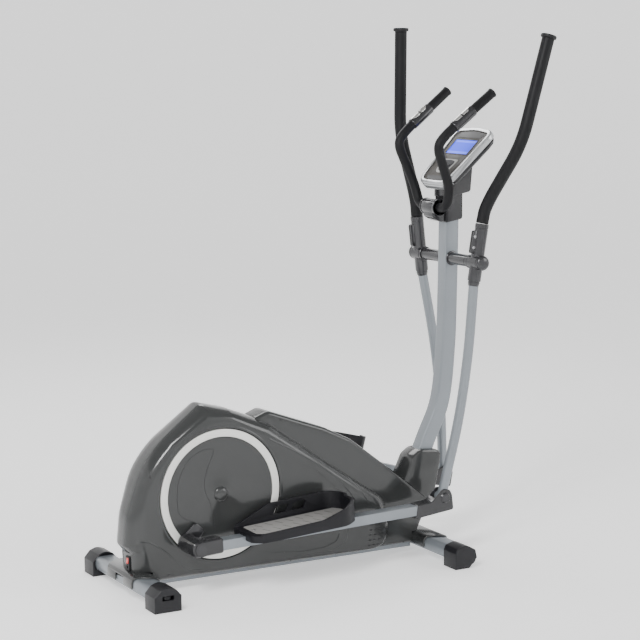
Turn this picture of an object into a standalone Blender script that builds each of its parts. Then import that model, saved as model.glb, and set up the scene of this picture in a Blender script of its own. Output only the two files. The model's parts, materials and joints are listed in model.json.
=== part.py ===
"""Elliptical cross trainer: frame, covers, crank set, flywheel, swing arms, pedal arms and console.

Metres, +Z up. +X is the front (console end), +Y the user's left. The origin is the middle of the
footprint, on the floor. Every piece is drawn where it stands at rest; what moves is drawn about its own
joint axis and hung on an empty that lies on that axis.
"""
from math import acos, atan2, cos, hypot, pi, radians, sin, sqrt

import bmesh
import bpy
from mathutils import Matrix, Vector

# ---------------------------------------------------------------- driving dimensions
GAP = 0.0003                  # between pieces that touch
RUN = 0.0010                  # between pieces that turn past each other
RIGHT, LEFT = -1, 1           # sign of y on each side
SIDES = ((RIGHT, "right"), (LEFT, "left"))

# crank and linkage
CRANK_X, CRANK_Z = -0.2726, 0.2747
CRANK_RADIUS = 0.1738
CRANK_ANGLE = radians(-131.5)     # right crank pin, seen from the right; the left one is opposite
DISC_RADIUS = 0.196
RING_INNER = 0.173
DISC_FACE_Y = 0.0735
HUB_X, HUB_Z = 0.5715, 0.9246     # axis that both swing arms turn on
SWING_LENGTH = 0.7377             # hub axis to lower pivot
PEDAL_ARM_LENGTH = 0.8394         # lower pivot to crank pin
PEDAL_ARM_Y = 0.156
PEDAL_TUBE = (0.043, 0.030)       # width, height

# base
REAR_X = -0.5775                  # rear face of the rear feet
REAR_HALF = 0.2625
FRONT_FOOT_X = 0.4110
FRONT_HALF = 0.3015
FOOT_DEPTH = 0.084
FRONT_FOOT_DEPTH = 0.078
FOOT_LENGTH = 0.072
FOOT_GRIP = 0.030                 # how far a stabilizer goes into its foot
STABILIZER = (0.068, 0.044)       # width, height
STABILIZER_Z = 0.040
BEAM = (0.056, 0.038)             # width, height
BEAM_Z = 0.0145                   # underside

# post and handlebars
POST = (0.050, 0.046)             # depth, width
POST_WALL = 0.0025
POST_TOP_Z = 1.150
HUB_SLEEVE_Y = (0.131, 0.199)
SLEEVE_Y = 0.164
SLEEVE_RADIUS = 0.0208
GRIP_RADIUS = 0.0195
SWING_TUBE_RADIUS = 0.0155
FIXED_BAR_RADIUS = 0.0150
CLAMP_X, CLAMP_Z = 0.5150, 1.0880
CLAMP_RADIUS = 0.0250
AXLE_RADIUS = 0.0095
SPACER_RADIUS = 0.0190

# housing
HOUSING_HALF = 0.0725             # outer side face, each side of the middle
SPINE_HALF = 0.0450
WALL = 0.0030
DISC_CLEAR = 0.0030
LEDGE_DEPTH = 0.0130              # how far the disc sits into the housing
RIM_WIDTH = 0.0085                # flat rim of the housing round the disc
LEDGE_WIDTH = 0.0140              # housing behind the edge of the disc
COVER_BOTTOM = 0.0280

# drive
PULLEY_RADIUS = 0.130
PULLEY_Y = -0.0460
PULLEY_WIDTH = 0.012
FLYWHEEL_X, FLYWHEEL_Z = 0.085, 0.190
FLYWHEEL_RADIUS = 0.115
FLYWHEEL_WIDTH = 0.022
FLYWHEEL_AXLE_RADIUS = 0.0060
SMALL_PULLEY_RADIUS = 0.018
BELT_THICKNESS = 0.003

# console
CONSOLE_X, CONSOLE_Z = 0.6206, 1.2726   # middle of the display
CONSOLE_TILT = radians(44.1)            # slope of the face, rising to the front
CONSOLE_TOP, CONSOLE_LOW = 0.086, -0.160
CONSOLE_HALF_TOP, CONSOLE_HALF_LOW = 0.1050, 0.0880
BEZEL_DEPTH = 0.018
SHELL_DEPTH = 0.018
DISPLAY = (0.122, 0.062)

# ---------------------------------------------------------------- scene
for old in list(bpy.data.objects):
    bpy.data.objects.remove(old, do_unlink=True)
parts = bpy.data.collections.new("elliptical_trainer")
bpy.context.scene.collection.children.link(parts)

FINISHES = {                      # base colour, roughness, metallic
    "silver_paint": ((0.36, 0.38, 0.40), 0.38, 0.6),
    "gunmetal_gloss": ((0.085, 0.09, 0.092), 0.22, 0.2),
    "dark_casting": ((0.07, 0.07, 0.072), 0.35, 0.3),
    "black_plastic": ((0.022, 0.022, 0.024), 0.5, 0.0),
    "black_foam": ((0.018, 0.018, 0.019), 0.85, 0.0),
    "ring_white": ((0.72, 0.72, 0.70), 0.35, 0.2),
    "bright_silver": ((0.70, 0.71, 0.73), 0.25, 0.6),
    "chrome": ((0.75, 0.75, 0.76), 0.12, 1.0),
    "bare_steel": ((0.42, 0.42, 0.43), 0.35, 1.0),
    "belt_rubber": ((0.012, 0.012, 0.012), 0.7, 0.0),
    "console_grey": ((0.115, 0.108, 0.092), 0.4, 0.1),
    "display_blue": ((0.16, 0.22, 0.80), 0.25, 0.0),
    "key_black": ((0.02, 0.022, 0.026), 0.4, 0.0),
    "switch_red": ((0.60, 0.04, 0.03), 0.35, 0.0),
}
materials = {}
for finish, (colour, roughness, metallic) in FINISHES.items():
    material = bpy.data.materials.new(finish)
    material.use_nodes = True
    shader = material.node_tree.nodes["Principled BSDF"]
    shader.inputs["Base Color"].default_value = (*colour, 1.0)
    shader.inputs["Roughness"].default_value = roughness
    shader.inputs["Metallic"].default_value = metallic
    materials[finish] = material


def empty(name, location, turn=0.0, parent=None):
    """A frame on a joint axis: local Y is the axis, and `turn` rotates about it, +Z towards +X."""
    frame = bpy.data.objects.new(name, None)
    parts.objects.link(frame)
    frame.parent = parent
    frame.location = location
    frame.rotation_euler = (0.0, turn, 0.0)
    return frame


machine = empty("trainer_origin", (0, 0, 0))


# ---------------------------------------------------------------- shape tools
def new_object(name, mesh):
    shape = bpy.data.objects.new(name, mesh)
    parts.objects.link(shape)
    return shape


def evaluated_mesh(shape):
    bpy.context.view_layer.update()
    graph = bpy.context.evaluated_depsgraph_get()
    return bpy.data.meshes.new_from_object(shape.evaluated_get(graph))


def apply_modifiers(shape):
    mesh = evaluated_mesh(shape)
    old = shape.data
    shape.modifiers.clear()
    shape.data = mesh
    bpy.data.meshes.remove(old)
    return shape


def from_bmesh(name, work):
    mesh = bpy.data.meshes.new(name)
    work.to_mesh(mesh)
    work.free()
    return new_object(name, mesh)


def box(name, x, y, z, bevel=0.0, segments=2):
    """A box from (low, high) pairs, its edges rounded by `bevel`."""
    work = bmesh.new()
    bmesh.ops.create_cube(work, size=1.0)
    size = [high - low for low, high in (x, y, z)]
    middle = [(high + low) / 2 for low, high in (x, y, z)]
    bmesh.ops.scale(work, vec=size, verts=work.verts)
    bmesh.ops.translate(work, vec=middle, verts=work.verts)
    if bevel:
        bmesh.ops.bevel(work, geom=work.edges[:], offset=bevel, segments=segments, profile=0.5,
                        affect="EDGES")
    return from_bmesh(name, work)


def cone(name, start, end, radius, end_radius=None, sides=24):
    """A cylinder or cone between two points."""
    a, b = Vector(start), Vector(end)
    end_radius = radius if end_radius is None else end_radius
    work = bmesh.new()
    bmesh.ops.create_cone(work, cap_ends=True, segments=sides, radius1=radius, radius2=end_radius,
                          depth=(b - a).length)
    turn = (b - a).to_track_quat("Z", "Y").to_matrix().to_4x4()
    bmesh.ops.transform(work, matrix=Matrix.Translation((a + b) / 2) @ turn, verts=work.verts)
    return from_bmesh(name, work)


def turned(name, profile, side=1, sides=32, x=0.0, z=0.0):
    """A turned piece on an axis along Y: profile is (radius, |y|) from the outer end inwards."""
    mesh = bpy.data.meshes.new(name)
    mesh.from_pydata([(radius, 0.0, height) for radius, height in profile],
                     [(i, i + 1) for i in range(len(profile) - 1)], [])
    shape = new_object(name, mesh)
    screw = shape.modifiers.new("turn", "SCREW")
    screw.steps = screw.render_steps = sides
    screw.use_merge_vertices = True
    screw.merge_threshold = 0.0001
    apply_modifiers(shape)
    upright = Matrix.Rotation(-pi / 2, 4, "X") if side > 0 else Matrix.Rotation(pi / 2, 4, "X")
    shape.data.transform(Matrix.Translation((x, 0, z)) @ upright)
    return shape


def rounded(corners, steps=4):
    """An outline from (x, z, radius) corners, each corner replaced by an arc."""
    outline = []
    count = len(corners)
    for i, (x, z, radius) in enumerate(corners):
        here = Vector((x, z))
        before = Vector(corners[i - 1][:2]) - here
        after = Vector(corners[(i + 1) % count][:2]) - here
        if radius <= 0:
            outline.append((x, z))
            continue
        angle = before.angle(after)
        reach = min(radius / max(sin(angle / 2) / cos(angle / 2), 1e-6),
                    0.49 * before.length, 0.49 * after.length)
        a, b = here + before.normalized() * reach, here + after.normalized() * reach
        for k in range(steps + 1):
            t = k / steps
            outline.append(tuple(a * (1 - t) ** 2 + here * 2 * t * (1 - t) + b * t ** 2))
    return outline


def circle(x, z, radius, sides=32, start=0.0, sweep=2 * pi):
    closed = abs(sweep) > 2 * pi - 1e-6
    count = sides if closed else sides + 1
    return [(x + radius * cos(start + sweep * i / sides), z + radius * sin(start + sweep * i / sides))
            for i in range(count)]


def prism(name, outline, low, high, plane="XZ", bevel=0.0, segments=2):
    """A flat outline given its thickness: in XZ it runs along Y, in XY along Z, in YZ along X."""
    curve = bpy.data.curves.new(name, "CURVE")
    curve.dimensions = "2D"
    curve.fill_mode = "BOTH"
    curve.extrude = (high - low) / 2
    curve.resolution_u = 1
    curve.render_resolution_u = 0
    spline = curve.splines.new("POLY")
    spline.points.add(len(outline) - 1)
    for point, (u, v) in zip(spline.points, outline):
        point.co = (u, v, 0.0, 1.0)
    spline.use_cyclic_u = True
    drawn = new_object(name + "_outline", curve)
    mesh = evaluated_mesh(drawn)
    bpy.data.objects.remove(drawn, do_unlink=True)
    work = bmesh.new()
    work.from_mesh(mesh)
    bpy.data.meshes.remove(mesh)
    bmesh.ops.remove_doubles(work, verts=work.verts, dist=1e-6)
    bmesh.ops.dissolve_limit(work, angle_limit=radians(0.5), verts=work.verts, edges=work.edges)
    if bevel:
        rim = [edge for edge in work.edges
               if all(abs(face.normal.z) > 0.5 for face in edge.link_faces) is False
               and any(abs(face.normal.z) > 0.5 for face in edge.link_faces)]
        bmesh.ops.bevel(work, geom=rim, offset=bevel, segments=segments, profile=0.5, affect="EDGES")
    middle = (high + low) / 2
    place = {
        "XY": Matrix.Translation((0, 0, middle)),
        "XZ": Matrix.Translation((0, middle, 0)) @ Matrix.Rotation(pi / 2, 4, "X"),
        "YZ": Matrix.Translation((middle, 0, 0)) @ Matrix(((0, 0, 1, 0), (1, 0, 0, 0),
                                                          (0, 1, 0, 0), (0, 0, 0, 1))),
    }[plane]
    bmesh.ops.transform(work, matrix=place, verts=work.verts)
    bmesh.ops.recalc_face_normals(work, faces=work.faces)
    return from_bmesh(name, work)


def smooth_path(points, bend=0.05, steps=5):
    """A path of straight runs joined by curved bends through 3-D corner points."""
    corners = [Vector(p) for p in points]
    path = [corners[0]]
    for before, here, after in zip(corners, corners[1:], corners[2:]):
        a = here + (before - here).normalized() * min(bend, 0.45 * (before - here).length)
        b = here + (after - here).normalized() * min(bend, 0.45 * (after - here).length)
        for k in range(steps + 1):
            t = k / steps
            path.append(a * (1 - t) ** 2 + here * 2 * t * (1 - t) + b * t ** 2)
    path.append(corners[-1])
    return path


def tube(name, path, radius, sides=12):
    """A round bar along a path, as a bevelled curve made into a mesh."""
    curve = bpy.data.curves.new(name, "CURVE")
    curve.dimensions = "3D"
    curve.bevel_depth = radius
    curve.bevel_resolution = (sides - 4) // 2
    curve.use_fill_caps = True
    curve.resolution_u = 1
    curve.render_resolution_u = 0
    spline = curve.splines.new("POLY")
    spline.points.add(len(path) - 1)
    for point, place in zip(spline.points, path):
        point.co = (*place, 1.0)
    drawn = new_object(name + "_path", curve)
    mesh = evaluated_mesh(drawn)
    bpy.data.objects.remove(drawn, do_unlink=True)
    work = bmesh.new()
    work.from_mesh(mesh)
    bpy.data.meshes.remove(mesh)
    bmesh.ops.remove_doubles(work, verts=work.verts, dist=1e-6)
    bmesh.ops.recalc_face_normals(work, faces=work.faces)
    return from_bmesh(name, work)


def combine(shape, other, operation):
    """Boolean of two shapes; the second one is used up."""
    modifier = shape.modifiers.new(operation.lower(), "BOOLEAN")
    modifier.operation = operation
    modifier.solver = "EXACT"
    modifier.object = other
    apply_modifiers(shape)
    bpy.data.objects.remove(other, do_unlink=True)
    return shape


def cut(shape, *cutters):
    for cutter in cutters:
        combine(shape, cutter, "DIFFERENCE")
    return shape


def join(shape, *others):
    for other in others:
        combine(shape, other, "UNION")
    return shape


def finish_part(shape, name, finish, parent=None, smooth=35):
    """Name a finished shape, give it its finish, and hang it on its joint frame."""
    shape.name = name
    shape.data.name = name
    shape.data.materials.clear()
    shape.data.materials.append(materials[finish])
    shape.data.shade_smooth()
    shape.data.set_sharp_from_angle(angle=radians(smooth))
    shape.parent = parent or machine
    return shape


def span(side, near, far):
    """(low, high) along y for a piece that runs from |y| = near to |y| = far on one side."""
    return (side * near, side * far) if side > 0 else (side * far, side * near)


# ---------------------------------------------------------------- linkage at rest
def crank_pin(side):
    angle = CRANK_ANGLE if side == RIGHT else CRANK_ANGLE + pi
    return Vector((CRANK_X + CRANK_RADIUS * cos(angle), CRANK_Z + CRANK_RADIUS * sin(angle)))


def lower_pivot(side):
    """Where the swing arm's circle meets the pedal arm's, on the lower front side."""
    pin, hub = crank_pin(side), Vector((HUB_X, HUB_Z))
    apart = (hub - pin).length
    along = (PEDAL_ARM_LENGTH ** 2 - SWING_LENGTH ** 2 + apart ** 2) / (2 * apart)
    off = sqrt(max(PEDAL_ARM_LENGTH ** 2 - along ** 2, 0.0))
    unit = (hub - pin) / apart
    return pin + unit * along + Vector((unit.y, -unit.x)) * off


def swing_turn(side):
    pivot = lower_pivot(side)
    return atan2(HUB_X - pivot.x, HUB_Z - pivot.y)


def pedal_turn(side):
    rise = lower_pivot(side) - crank_pin(side)
    return -atan2(rise.y, rise.x)


crank_frames, swing_frames, pedal_frames = {}, {}, {}
for side, tag in SIDES:
    crank_frames[side] = empty("crank_frame_" + tag, (CRANK_X, 0, CRANK_Z),
                               -(CRANK_ANGLE if side == RIGHT else CRANK_ANGLE + pi), machine)
    swing_frames[side] = empty("swing_pivot_" + tag, (HUB_X, 0, HUB_Z), swing_turn(side), machine)
    place = lower_pivot(side)
    pedal_frames[side] = empty("pedal_pivot_" + tag, (place.x, 0, place.y), pedal_turn(side), machine)


# ---------------------------------------------------------------- base
def stabilizer(name, middle_x, half):
    width, height = STABILIZER
    corner = 0.018
    outline = rounded([(middle_x - width / 2, STABILIZER_Z - height / 2, corner),
                       (middle_x + width / 2, STABILIZER_Z - height / 2, corner),
                       (middle_x + width / 2, STABILIZER_Z + height / 2, corner),
                       (middle_x - width / 2, STABILIZER_Z + height / 2, corner)])
    end = half - FOOT_LENGTH + FOOT_GRIP
    shape = prism(name, outline, -end, end)
    inner = rounded([(middle_x - width / 2 + 0.002, STABILIZER_Z - height / 2 + 0.002, corner),
                     (middle_x + width / 2 - 0.002, STABILIZER_Z - height / 2 + 0.002, corner),
                     (middle_x + width / 2 - 0.002, STABILIZER_Z + height / 2 - 0.002, corner),
                     (middle_x - width / 2 + 0.002, STABILIZER_Z + height / 2 - 0.002, corner)])
    cut(shape, prism("bore", inner, -end - 0.01, end + 0.01))
    return finish_part(shape, name, "silver_paint")


rear_tube_x = REAR_X + FOOT_DEPTH / 2
front_tube_x = FRONT_FOOT_X + FRONT_FOOT_DEPTH / 2
stabilizer("rear_stabilizer", rear_tube_x, REAR_HALF)
stabilizer("front_stabilizer", front_tube_x, FRONT_HALF)


def stabilizer_socket(middle_x, side, half):
    """The space that a stabilizer's end takes inside a foot, with its gap."""
    width, height = STABILIZER
    reach = half - FOOT_LENGTH + FOOT_GRIP + GAP
    corner = 0.018
    outline = rounded([(middle_x - width / 2 - GAP, STABILIZER_Z - height / 2 - GAP, corner),
                       (middle_x + width / 2 + GAP, STABILIZER_Z - height / 2 - GAP, corner),
                       (middle_x + width / 2 + GAP, STABILIZER_Z + height / 2 + GAP, corner),
                       (middle_x - width / 2 - GAP, STABILIZER_Z + height / 2 + GAP, corner)])
    return prism("socket", outline, *span(side, half - FOOT_LENGTH - 0.01, reach))


KNOB_RADIUS = 0.0155
KNOB_THICKNESS = 0.011
KNOB_Z = 0.0420
WINDOW = (0.037, 0.034, 0.014)     # across, deep, high
for side, tag in SIDES:
    x0, x1 = REAR_X, REAR_X + FOOT_DEPTH
    outline = rounded([(x0, 0.0, 0.0), (x1, 0.0, 0.0), (x1, 0.046, 0.004), (x1 - 0.018, 0.066, 0.010),
                       (rear_tube_x, 0.0745, 0.03), (x0 + 0.018, 0.066, 0.010), (x0, 0.046, 0.004)], 3)
    foot = prism("foot", outline, *span(side, REAR_HALF - FOOT_LENGTH, REAR_HALF), bevel=0.002,
                 segments=1)
    window = box("window", (rear_tube_x - WINDOW[0] / 2, rear_tube_x + WINDOW[0] / 2),
                 span(side, REAR_HALF - WINDOW[1], REAR_HALF + 0.01),
                 (KNOB_Z - WINDOW[2] / 2, KNOB_Z + WINDOW[2] / 2))
    cut(foot, stabilizer_socket(rear_tube_x, side, REAR_HALF), window)
    finish_part(foot, "rear_foot_" + tag, "black_plastic")
    # a thumb wheel on an upright screw, seen through the window, sets the foot's height
    knob_y = side * (REAR_HALF - WINDOW[1] + KNOB_RADIUS + RUN)
    knob = cone("knob", (rear_tube_x, knob_y, KNOB_Z - KNOB_THICKNESS / 2),
                (rear_tube_x, knob_y, KNOB_Z + KNOB_THICKNESS / 2), KNOB_RADIUS, sides=20)
    finish_part(knob, "rear_leveler_" + tag, "black_plastic")

WHEEL_RADIUS = 0.0240
WHEEL_WIDTH = 0.020
WHEEL_AXLE_RADIUS = 0.0040
WHEEL_X = FRONT_FOOT_X + FRONT_FOOT_DEPTH - 0.0190
WHEEL_Z = 0.0290
for side, tag in SIDES:
    x0, x1 = FRONT_FOOT_X, FRONT_FOOT_X + FRONT_FOOT_DEPTH
    outline = rounded([(x0, 0.0, 0.0), (x1 - 0.028, 0.0, 0.0), (x1, 0.030, 0.003),
                       (x1 - 0.006, 0.056, 0.006), (front_tube_x, 0.0745, 0.03),
                       (x0 + 0.006, 0.064, 0.008), (x0, 0.050, 0.004)], 3)
    foot = prism("foot", outline, *span(side, FRONT_HALF - FOOT_LENGTH, FRONT_HALF), bevel=0.002,
                 segments=1)
    well = cone("well", (WHEEL_X, side * (FRONT_HALF - 0.034), WHEEL_Z),
                (WHEEL_X, side * (FRONT_HALF - 0.010), WHEEL_Z), WHEEL_RADIUS + 0.002, sides=20)
    cut(foot, stabilizer_socket(front_tube_x, side, FRONT_HALF), well)
    join(foot, cone("axle", (WHEEL_X, side * (FRONT_HALF - 0.036), WHEEL_Z),
                    (WHEEL_X, side * (FRONT_HALF - 0.008), WHEEL_Z), WHEEL_AXLE_RADIUS, sides=12))
    finish_part(foot, "front_foot_" + tag, "black_plastic")
    middle_y = side * (FRONT_HALF - 0.022)
    wheel = cone("wheel", (WHEEL_X, middle_y - WHEEL_WIDTH / 2, WHEEL_Z),
                 (WHEEL_X, middle_y + WHEEL_WIDTH / 2, WHEEL_Z), WHEEL_RADIUS, sides=20)
    cut(wheel, cone("bore", (WHEEL_X, middle_y - WHEEL_WIDTH, WHEEL_Z),
                    (WHEEL_X, middle_y + WHEEL_WIDTH, WHEEL_Z), WHEEL_AXLE_RADIUS + GAP, sides=12))
    finish_part(wheel, "transport_wheel_" + tag, "black_plastic")


# ---------------------------------------------------------------- belt line, idler and magnet places
pulley_half = PULLEY_WIDTH / 2
IDLER_RADIUS = 0.0150
IDLER_SHARE = 0.30                # how far along the belt's upper run
MAGNET_GAP = 0.0030
MAGNET_DEPTH = 0.016
MAGNET_START, MAGNET_SWEEP = radians(20), radians(80)
SMALL_PIN_RADIUS = 0.0050         # idler and magnet pivots


def belt_outline(grow):
    """The loop round both pulleys, `grow` outside their rims."""
    big, small = PULLEY_RADIUS + grow, SMALL_PULLEY_RADIUS + grow
    apart = Vector((FLYWHEEL_X - CRANK_X, FLYWHEEL_Z - CRANK_Z))
    lie = atan2(apart.y, apart.x)
    lean = acos((big - small) / apart.length)
    big_sweep, small_sweep = 2 * pi - 2 * lean, 2 * lean
    big_steps, small_steps = 18, 8
    # the flats of each arc stay outside the round rim
    return (circle(CRANK_X, CRANK_Z, big / cos(big_sweep / big_steps / 2), big_steps, lie + lean, big_sweep)
            + circle(FLYWHEEL_X, FLYWHEEL_Z, small / cos(small_sweep / small_steps / 2), small_steps,
                     lie - lean, small_sweep))


belt_line = belt_outline(GAP + BELT_THICKNESS)
run_start, run_end = Vector(belt_line[-1]), Vector(belt_line[0])
run = (run_end - run_start).normalized()
idler_middle = run_start.lerp(run_end, IDLER_SHARE) + Vector((run.y, -run.x)) * (IDLER_RADIUS + RUN)
magnet_in = FLYWHEEL_RADIUS + MAGNET_GAP
magnet_middle = magnet_in + MAGNET_DEPTH / 2
magnet_pivot = Vector((FLYWHEEL_X + magnet_middle * cos(MAGNET_START),
                       FLYWHEEL_Z + magnet_middle * sin(MAGNET_START)))

# ---------------------------------------------------------------- main frame, one weldment
BEARING_BORE = 0.0200
BEARING_SHELL = (0.0250, 0.036)    # outer radius, half length
beam_rear = rear_tube_x + STABILIZER[0] / 2 + GAP
beam_front = front_tube_x - STABILIZER[0] / 2 - GAP
beam_top = BEAM_Z + BEAM[1]
FORK_PLATE = 0.004
STAND_PLATE = 0.003
FORK_RIGHT_Y, FORK_LEFT_Y = -0.0560, 0.0160     # inner faces of the flywheel's fork


def bar(name, a, b, depth, half):
    """A flat bar in the XZ plane from a to b, `depth` across and 2 * half along Y."""
    a, b = Vector(a), Vector(b)
    out = Vector((a.y - b.y, b.x - a.x)).normalized() * depth / 2
    return prism(name, [tuple(a + out), tuple(a - out), tuple(b - out), tuple(b + out)], -half, half)


frame = box("frame", (beam_rear, beam_front), (-BEAM[0] / 2, BEAM[0] / 2), (BEAM_Z, beam_top))
join(frame,
     bar("mast", (CRANK_X, beam_top - 0.004), (CRANK_X, CRANK_Z - 0.012), 0.040, 0.022),
     bar("brace", (CRANK_X + 0.150, beam_top - 0.006), (CRANK_X + 0.008, CRANK_Z - 0.080), 0.026, 0.016),
     cone("shell", (CRANK_X, -BEARING_SHELL[1], CRANK_Z), (CRANK_X, BEARING_SHELL[1], CRANK_Z),
          BEARING_SHELL[0], sides=20))
join(frame, box("fork_foot", (FLYWHEEL_X - 0.030, FLYWHEEL_X + 0.030),
                (FORK_RIGHT_Y - FORK_PLATE, BEAM[0] / 2), (beam_top - 0.003, beam_top + 0.003)))
for low in (FORK_RIGHT_Y - FORK_PLATE, FORK_LEFT_Y):
    join(frame, prism("fork", rounded([(FLYWHEEL_X - 0.028, beam_top, 0.0),
                                       (FLYWHEEL_X + 0.028, beam_top, 0.0),
                                       (FLYWHEEL_X + 0.014, FLYWHEEL_Z + 0.014, 0.012),
                                       (FLYWHEEL_X - 0.014, FLYWHEEL_Z + 0.014, 0.012)], 3),
                      low, low + FORK_PLATE))


def stand(name, a, b, low, width, pin_y):
    """A flat strip up from a to b, with a pin across at b for a small pivot."""
    start, end = Vector(a), Vector(b)
    out = Vector((start.y - end.y, end.x - start.x)).normalized() * width / 2
    over = (end - start).normalized() * width / 2
    strip = prism(name, [tuple(start + out), tuple(start - out), tuple(end - out + over),
                         tuple(end + out + over)], low, low + STAND_PLATE)
    return join(strip, cone("pin", (end.x, pin_y[0], end.y), (end.x, pin_y[1], end.y),
                            SMALL_PIN_RADIUS, sides=12))


plate_low = FORK_RIGHT_Y - FORK_PLATE
magnet_side = FLYWHEEL_WIDTH / 2
join(frame, stand("idler_stand", (FLYWHEEL_X, FLYWHEEL_Z - 0.020), tuple(idler_middle), plate_low + GAP,
                  0.020, (plate_low + 0.002, PULLEY_Y + pulley_half)),
     stand("magnet_stand", (magnet_pivot.x, beam_top - 0.003), tuple(magnet_pivot), magnet_side + RUN, 0.024,
           (-magnet_side, magnet_side + RUN + 0.002)))
cut(frame, cone("bore", (CRANK_X, -0.05, CRANK_Z), (CRANK_X, 0.05, CRANK_Z), BEARING_BORE, sides=20),
    cone("axle_hole", (FLYWHEEL_X, -0.07, FLYWHEEL_Z), (FLYWHEEL_X, 0.07, FLYWHEEL_Z),
         FLYWHEEL_AXLE_RADIUS + GAP, sides=16))

# ---------------------------------------------------------------- post
POST_FOOT_Z = 0.0565
POST_LINE = [(0.3820, 0.0420), (0.4240, 0.200), (0.4900, 0.350), (0.5420, 0.470), (0.5630, 0.640),
             (0.5700, 0.830), (0.5760, POST_TOP_Z)]     # middle of the post, from its foot up


def spline_points(points, steps=5):
    """A smooth curve through points, as a Catmull-Rom spline."""
    path = []
    ends = [points[0]] + list(points) + [points[-1]]
    for i in range(1, len(ends) - 2):
        p0, p1, p2, p3 = (Vector(p) for p in ends[i - 1:i + 3])
        for k in range(steps):
            t = k / steps
            path.append(0.5 * (2 * p1 + (p2 - p0) * t + (2 * p0 - 5 * p1 + 4 * p2 - p3) * t * t
                               + (3 * p1 - p0 - 3 * p2 + p3) * t ** 3))
    path.append(Vector(points[-1]))
    return path


def ribbon(points, half):
    """Outline of a strip of constant width that follows a path in XZ."""
    left, right = [], []
    for i, here in enumerate(points):
        along = points[min(i + 1, len(points) - 1)] - points[max(i - 1, 0)]
        out = Vector((-along.y, along.x)).normalized() * half
        left.append(tuple(here + out))
        right.append(tuple(here - out))
    return left + right[::-1]


post_path = spline_points(POST_LINE, 3)
post_start, post_end = post_path[0], post_path[-1]
inner_path = ([post_start - (post_path[1] - post_start).normalized() * 0.02] + post_path[1:-1]
              + [post_end + Vector((0, 0.02))])
post = prism("post", ribbon(post_path, POST[0] / 2), -POST[1] / 2, POST[1] / 2, bevel=0.005, segments=1)
cut(post, prism("hollow", ribbon(inner_path, POST[0] / 2 - POST_WALL), -POST[1] / 2 + POST_WALL,
                POST[1] / 2 - POST_WALL),
    box("foot_end", (0.3, 0.5), (-0.1, 0.1), (0.0, POST_FOOT_Z)),
    cone("cross_hole", (HUB_X, -0.05, HUB_Z), (HUB_X, 0.05, HUB_Z), AXLE_RADIUS + GAP, sides=16))
finish_part(post, "post", "silver_paint")

# the frame's socket: a stub welded to the beam, inside the post's foot
stub_path = post_path[:4]
stub_half = POST[0] / 2 - POST_WALL - 0.0006
join(frame, prism("stub", ribbon(stub_path, stub_half), -POST[1] / 2 + POST_WALL + 0.0006,
                  POST[1] / 2 - POST_WALL - 0.0006))
finish_part(frame, "main_frame", "silver_paint")

# ---------------------------------------------------------------- housing, two half shells
DRUM = [(-0.4900, 0.0280, 0.020), (-0.5480, 0.0480, 0.020), (-0.5500, 0.1180, 0.012),
        (-0.5690, 0.1420, 0.012), (-0.5600, 0.2300, 0.10), (-0.5050, 0.3980, 0.12),
        (-0.3300, 0.5400, 0.022), (-0.2700, 0.5330, 0.02), (-0.0900, 0.4680, 0.06),
        (0.1200, 0.3200, 0.20), (0.3220, 0.1850, 0.060), (0.3300, 0.0280, 0.070)]
DRUM_FACE = [(-0.4700, 0.0450, 0.060), (-0.5080, 0.1300, 0.060), (-0.4950, 0.3300, 0.12),
             (-0.3800, 0.4740, 0.10), (-0.2400, 0.4920, 0.06), (-0.1020, 0.4230, 0.10),
             (0.1000, 0.2900, 0.20), (0.2900, 0.1400, 0.060), (0.2850, 0.0420, 0.060)]
SPINE = [(-0.2600, 0.0300, 0.0), (0.4160, 0.0300, 0.020), (0.4800, 0.1600, 0.030),
         (0.3640, 0.2540, 0.10), (0.1940, 0.3850, 0.15), (0.1000, 0.4320, 0.10),
         (-0.0960, 0.5030, 0.030), (-0.1340, 0.4880, 0.025), (-0.2600, 0.3900, 0.0)]
PARTING = 0.00015                 # each half stops this far short of the middle plane
SKIRT_WALL = 0.0030
SKIRT_CLEAR = 0.0015              # between a stabilizer and the skirt over it
SKIRT_HALF = STABILIZER[0] / 2 + SKIRT_CLEAR + SKIRT_WALL
SKIRT_TOP = STABILIZER_Z + STABILIZER[1] / 2 + SKIRT_CLEAR + SKIRT_WALL


def beam_room():
    """The space that the beam takes under the covers."""
    half = BEAM[0] / 2 + 2 * GAP
    return box("beam_room", (-0.7, 0.6), (-half, half), (0.0, beam_top + 2 * GAP))


def skirt_room(middle_x):
    """The space under the housing that a skirt takes."""
    return box("skirt_room", (middle_x - 2 * SKIRT_HALF, middle_x + SKIRT_HALF + GAP) if middle_x < 0
               else (middle_x - SKIRT_HALF - GAP, middle_x + 2 * SKIRT_HALF), (-0.2, 0.2),
               (0.0, SKIRT_TOP + GAP))


def ray_out(outline, x, z, angle):
    """How far a ray from (x, z) goes before it leaves an outline."""
    ray = Vector((cos(angle), sin(angle)))
    best = None
    for a, b in zip(outline, outline[1:] + outline[:1]):
        edge = Vector(b) - Vector(a)
        start = Vector(a) - Vector((x, z))
        cross = ray.x * edge.y - ray.y * edge.x
        if abs(cross) < 1e-12:
            continue
        distance = (start.x * edge.y - start.y * edge.x) / cross
        along = (start.x * ray.y - start.y * ray.x) / cross
        if distance > 0 and -1e-9 <= along <= 1 + 1e-9:
            best = distance if best is None else min(best, distance)
    return best


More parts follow.
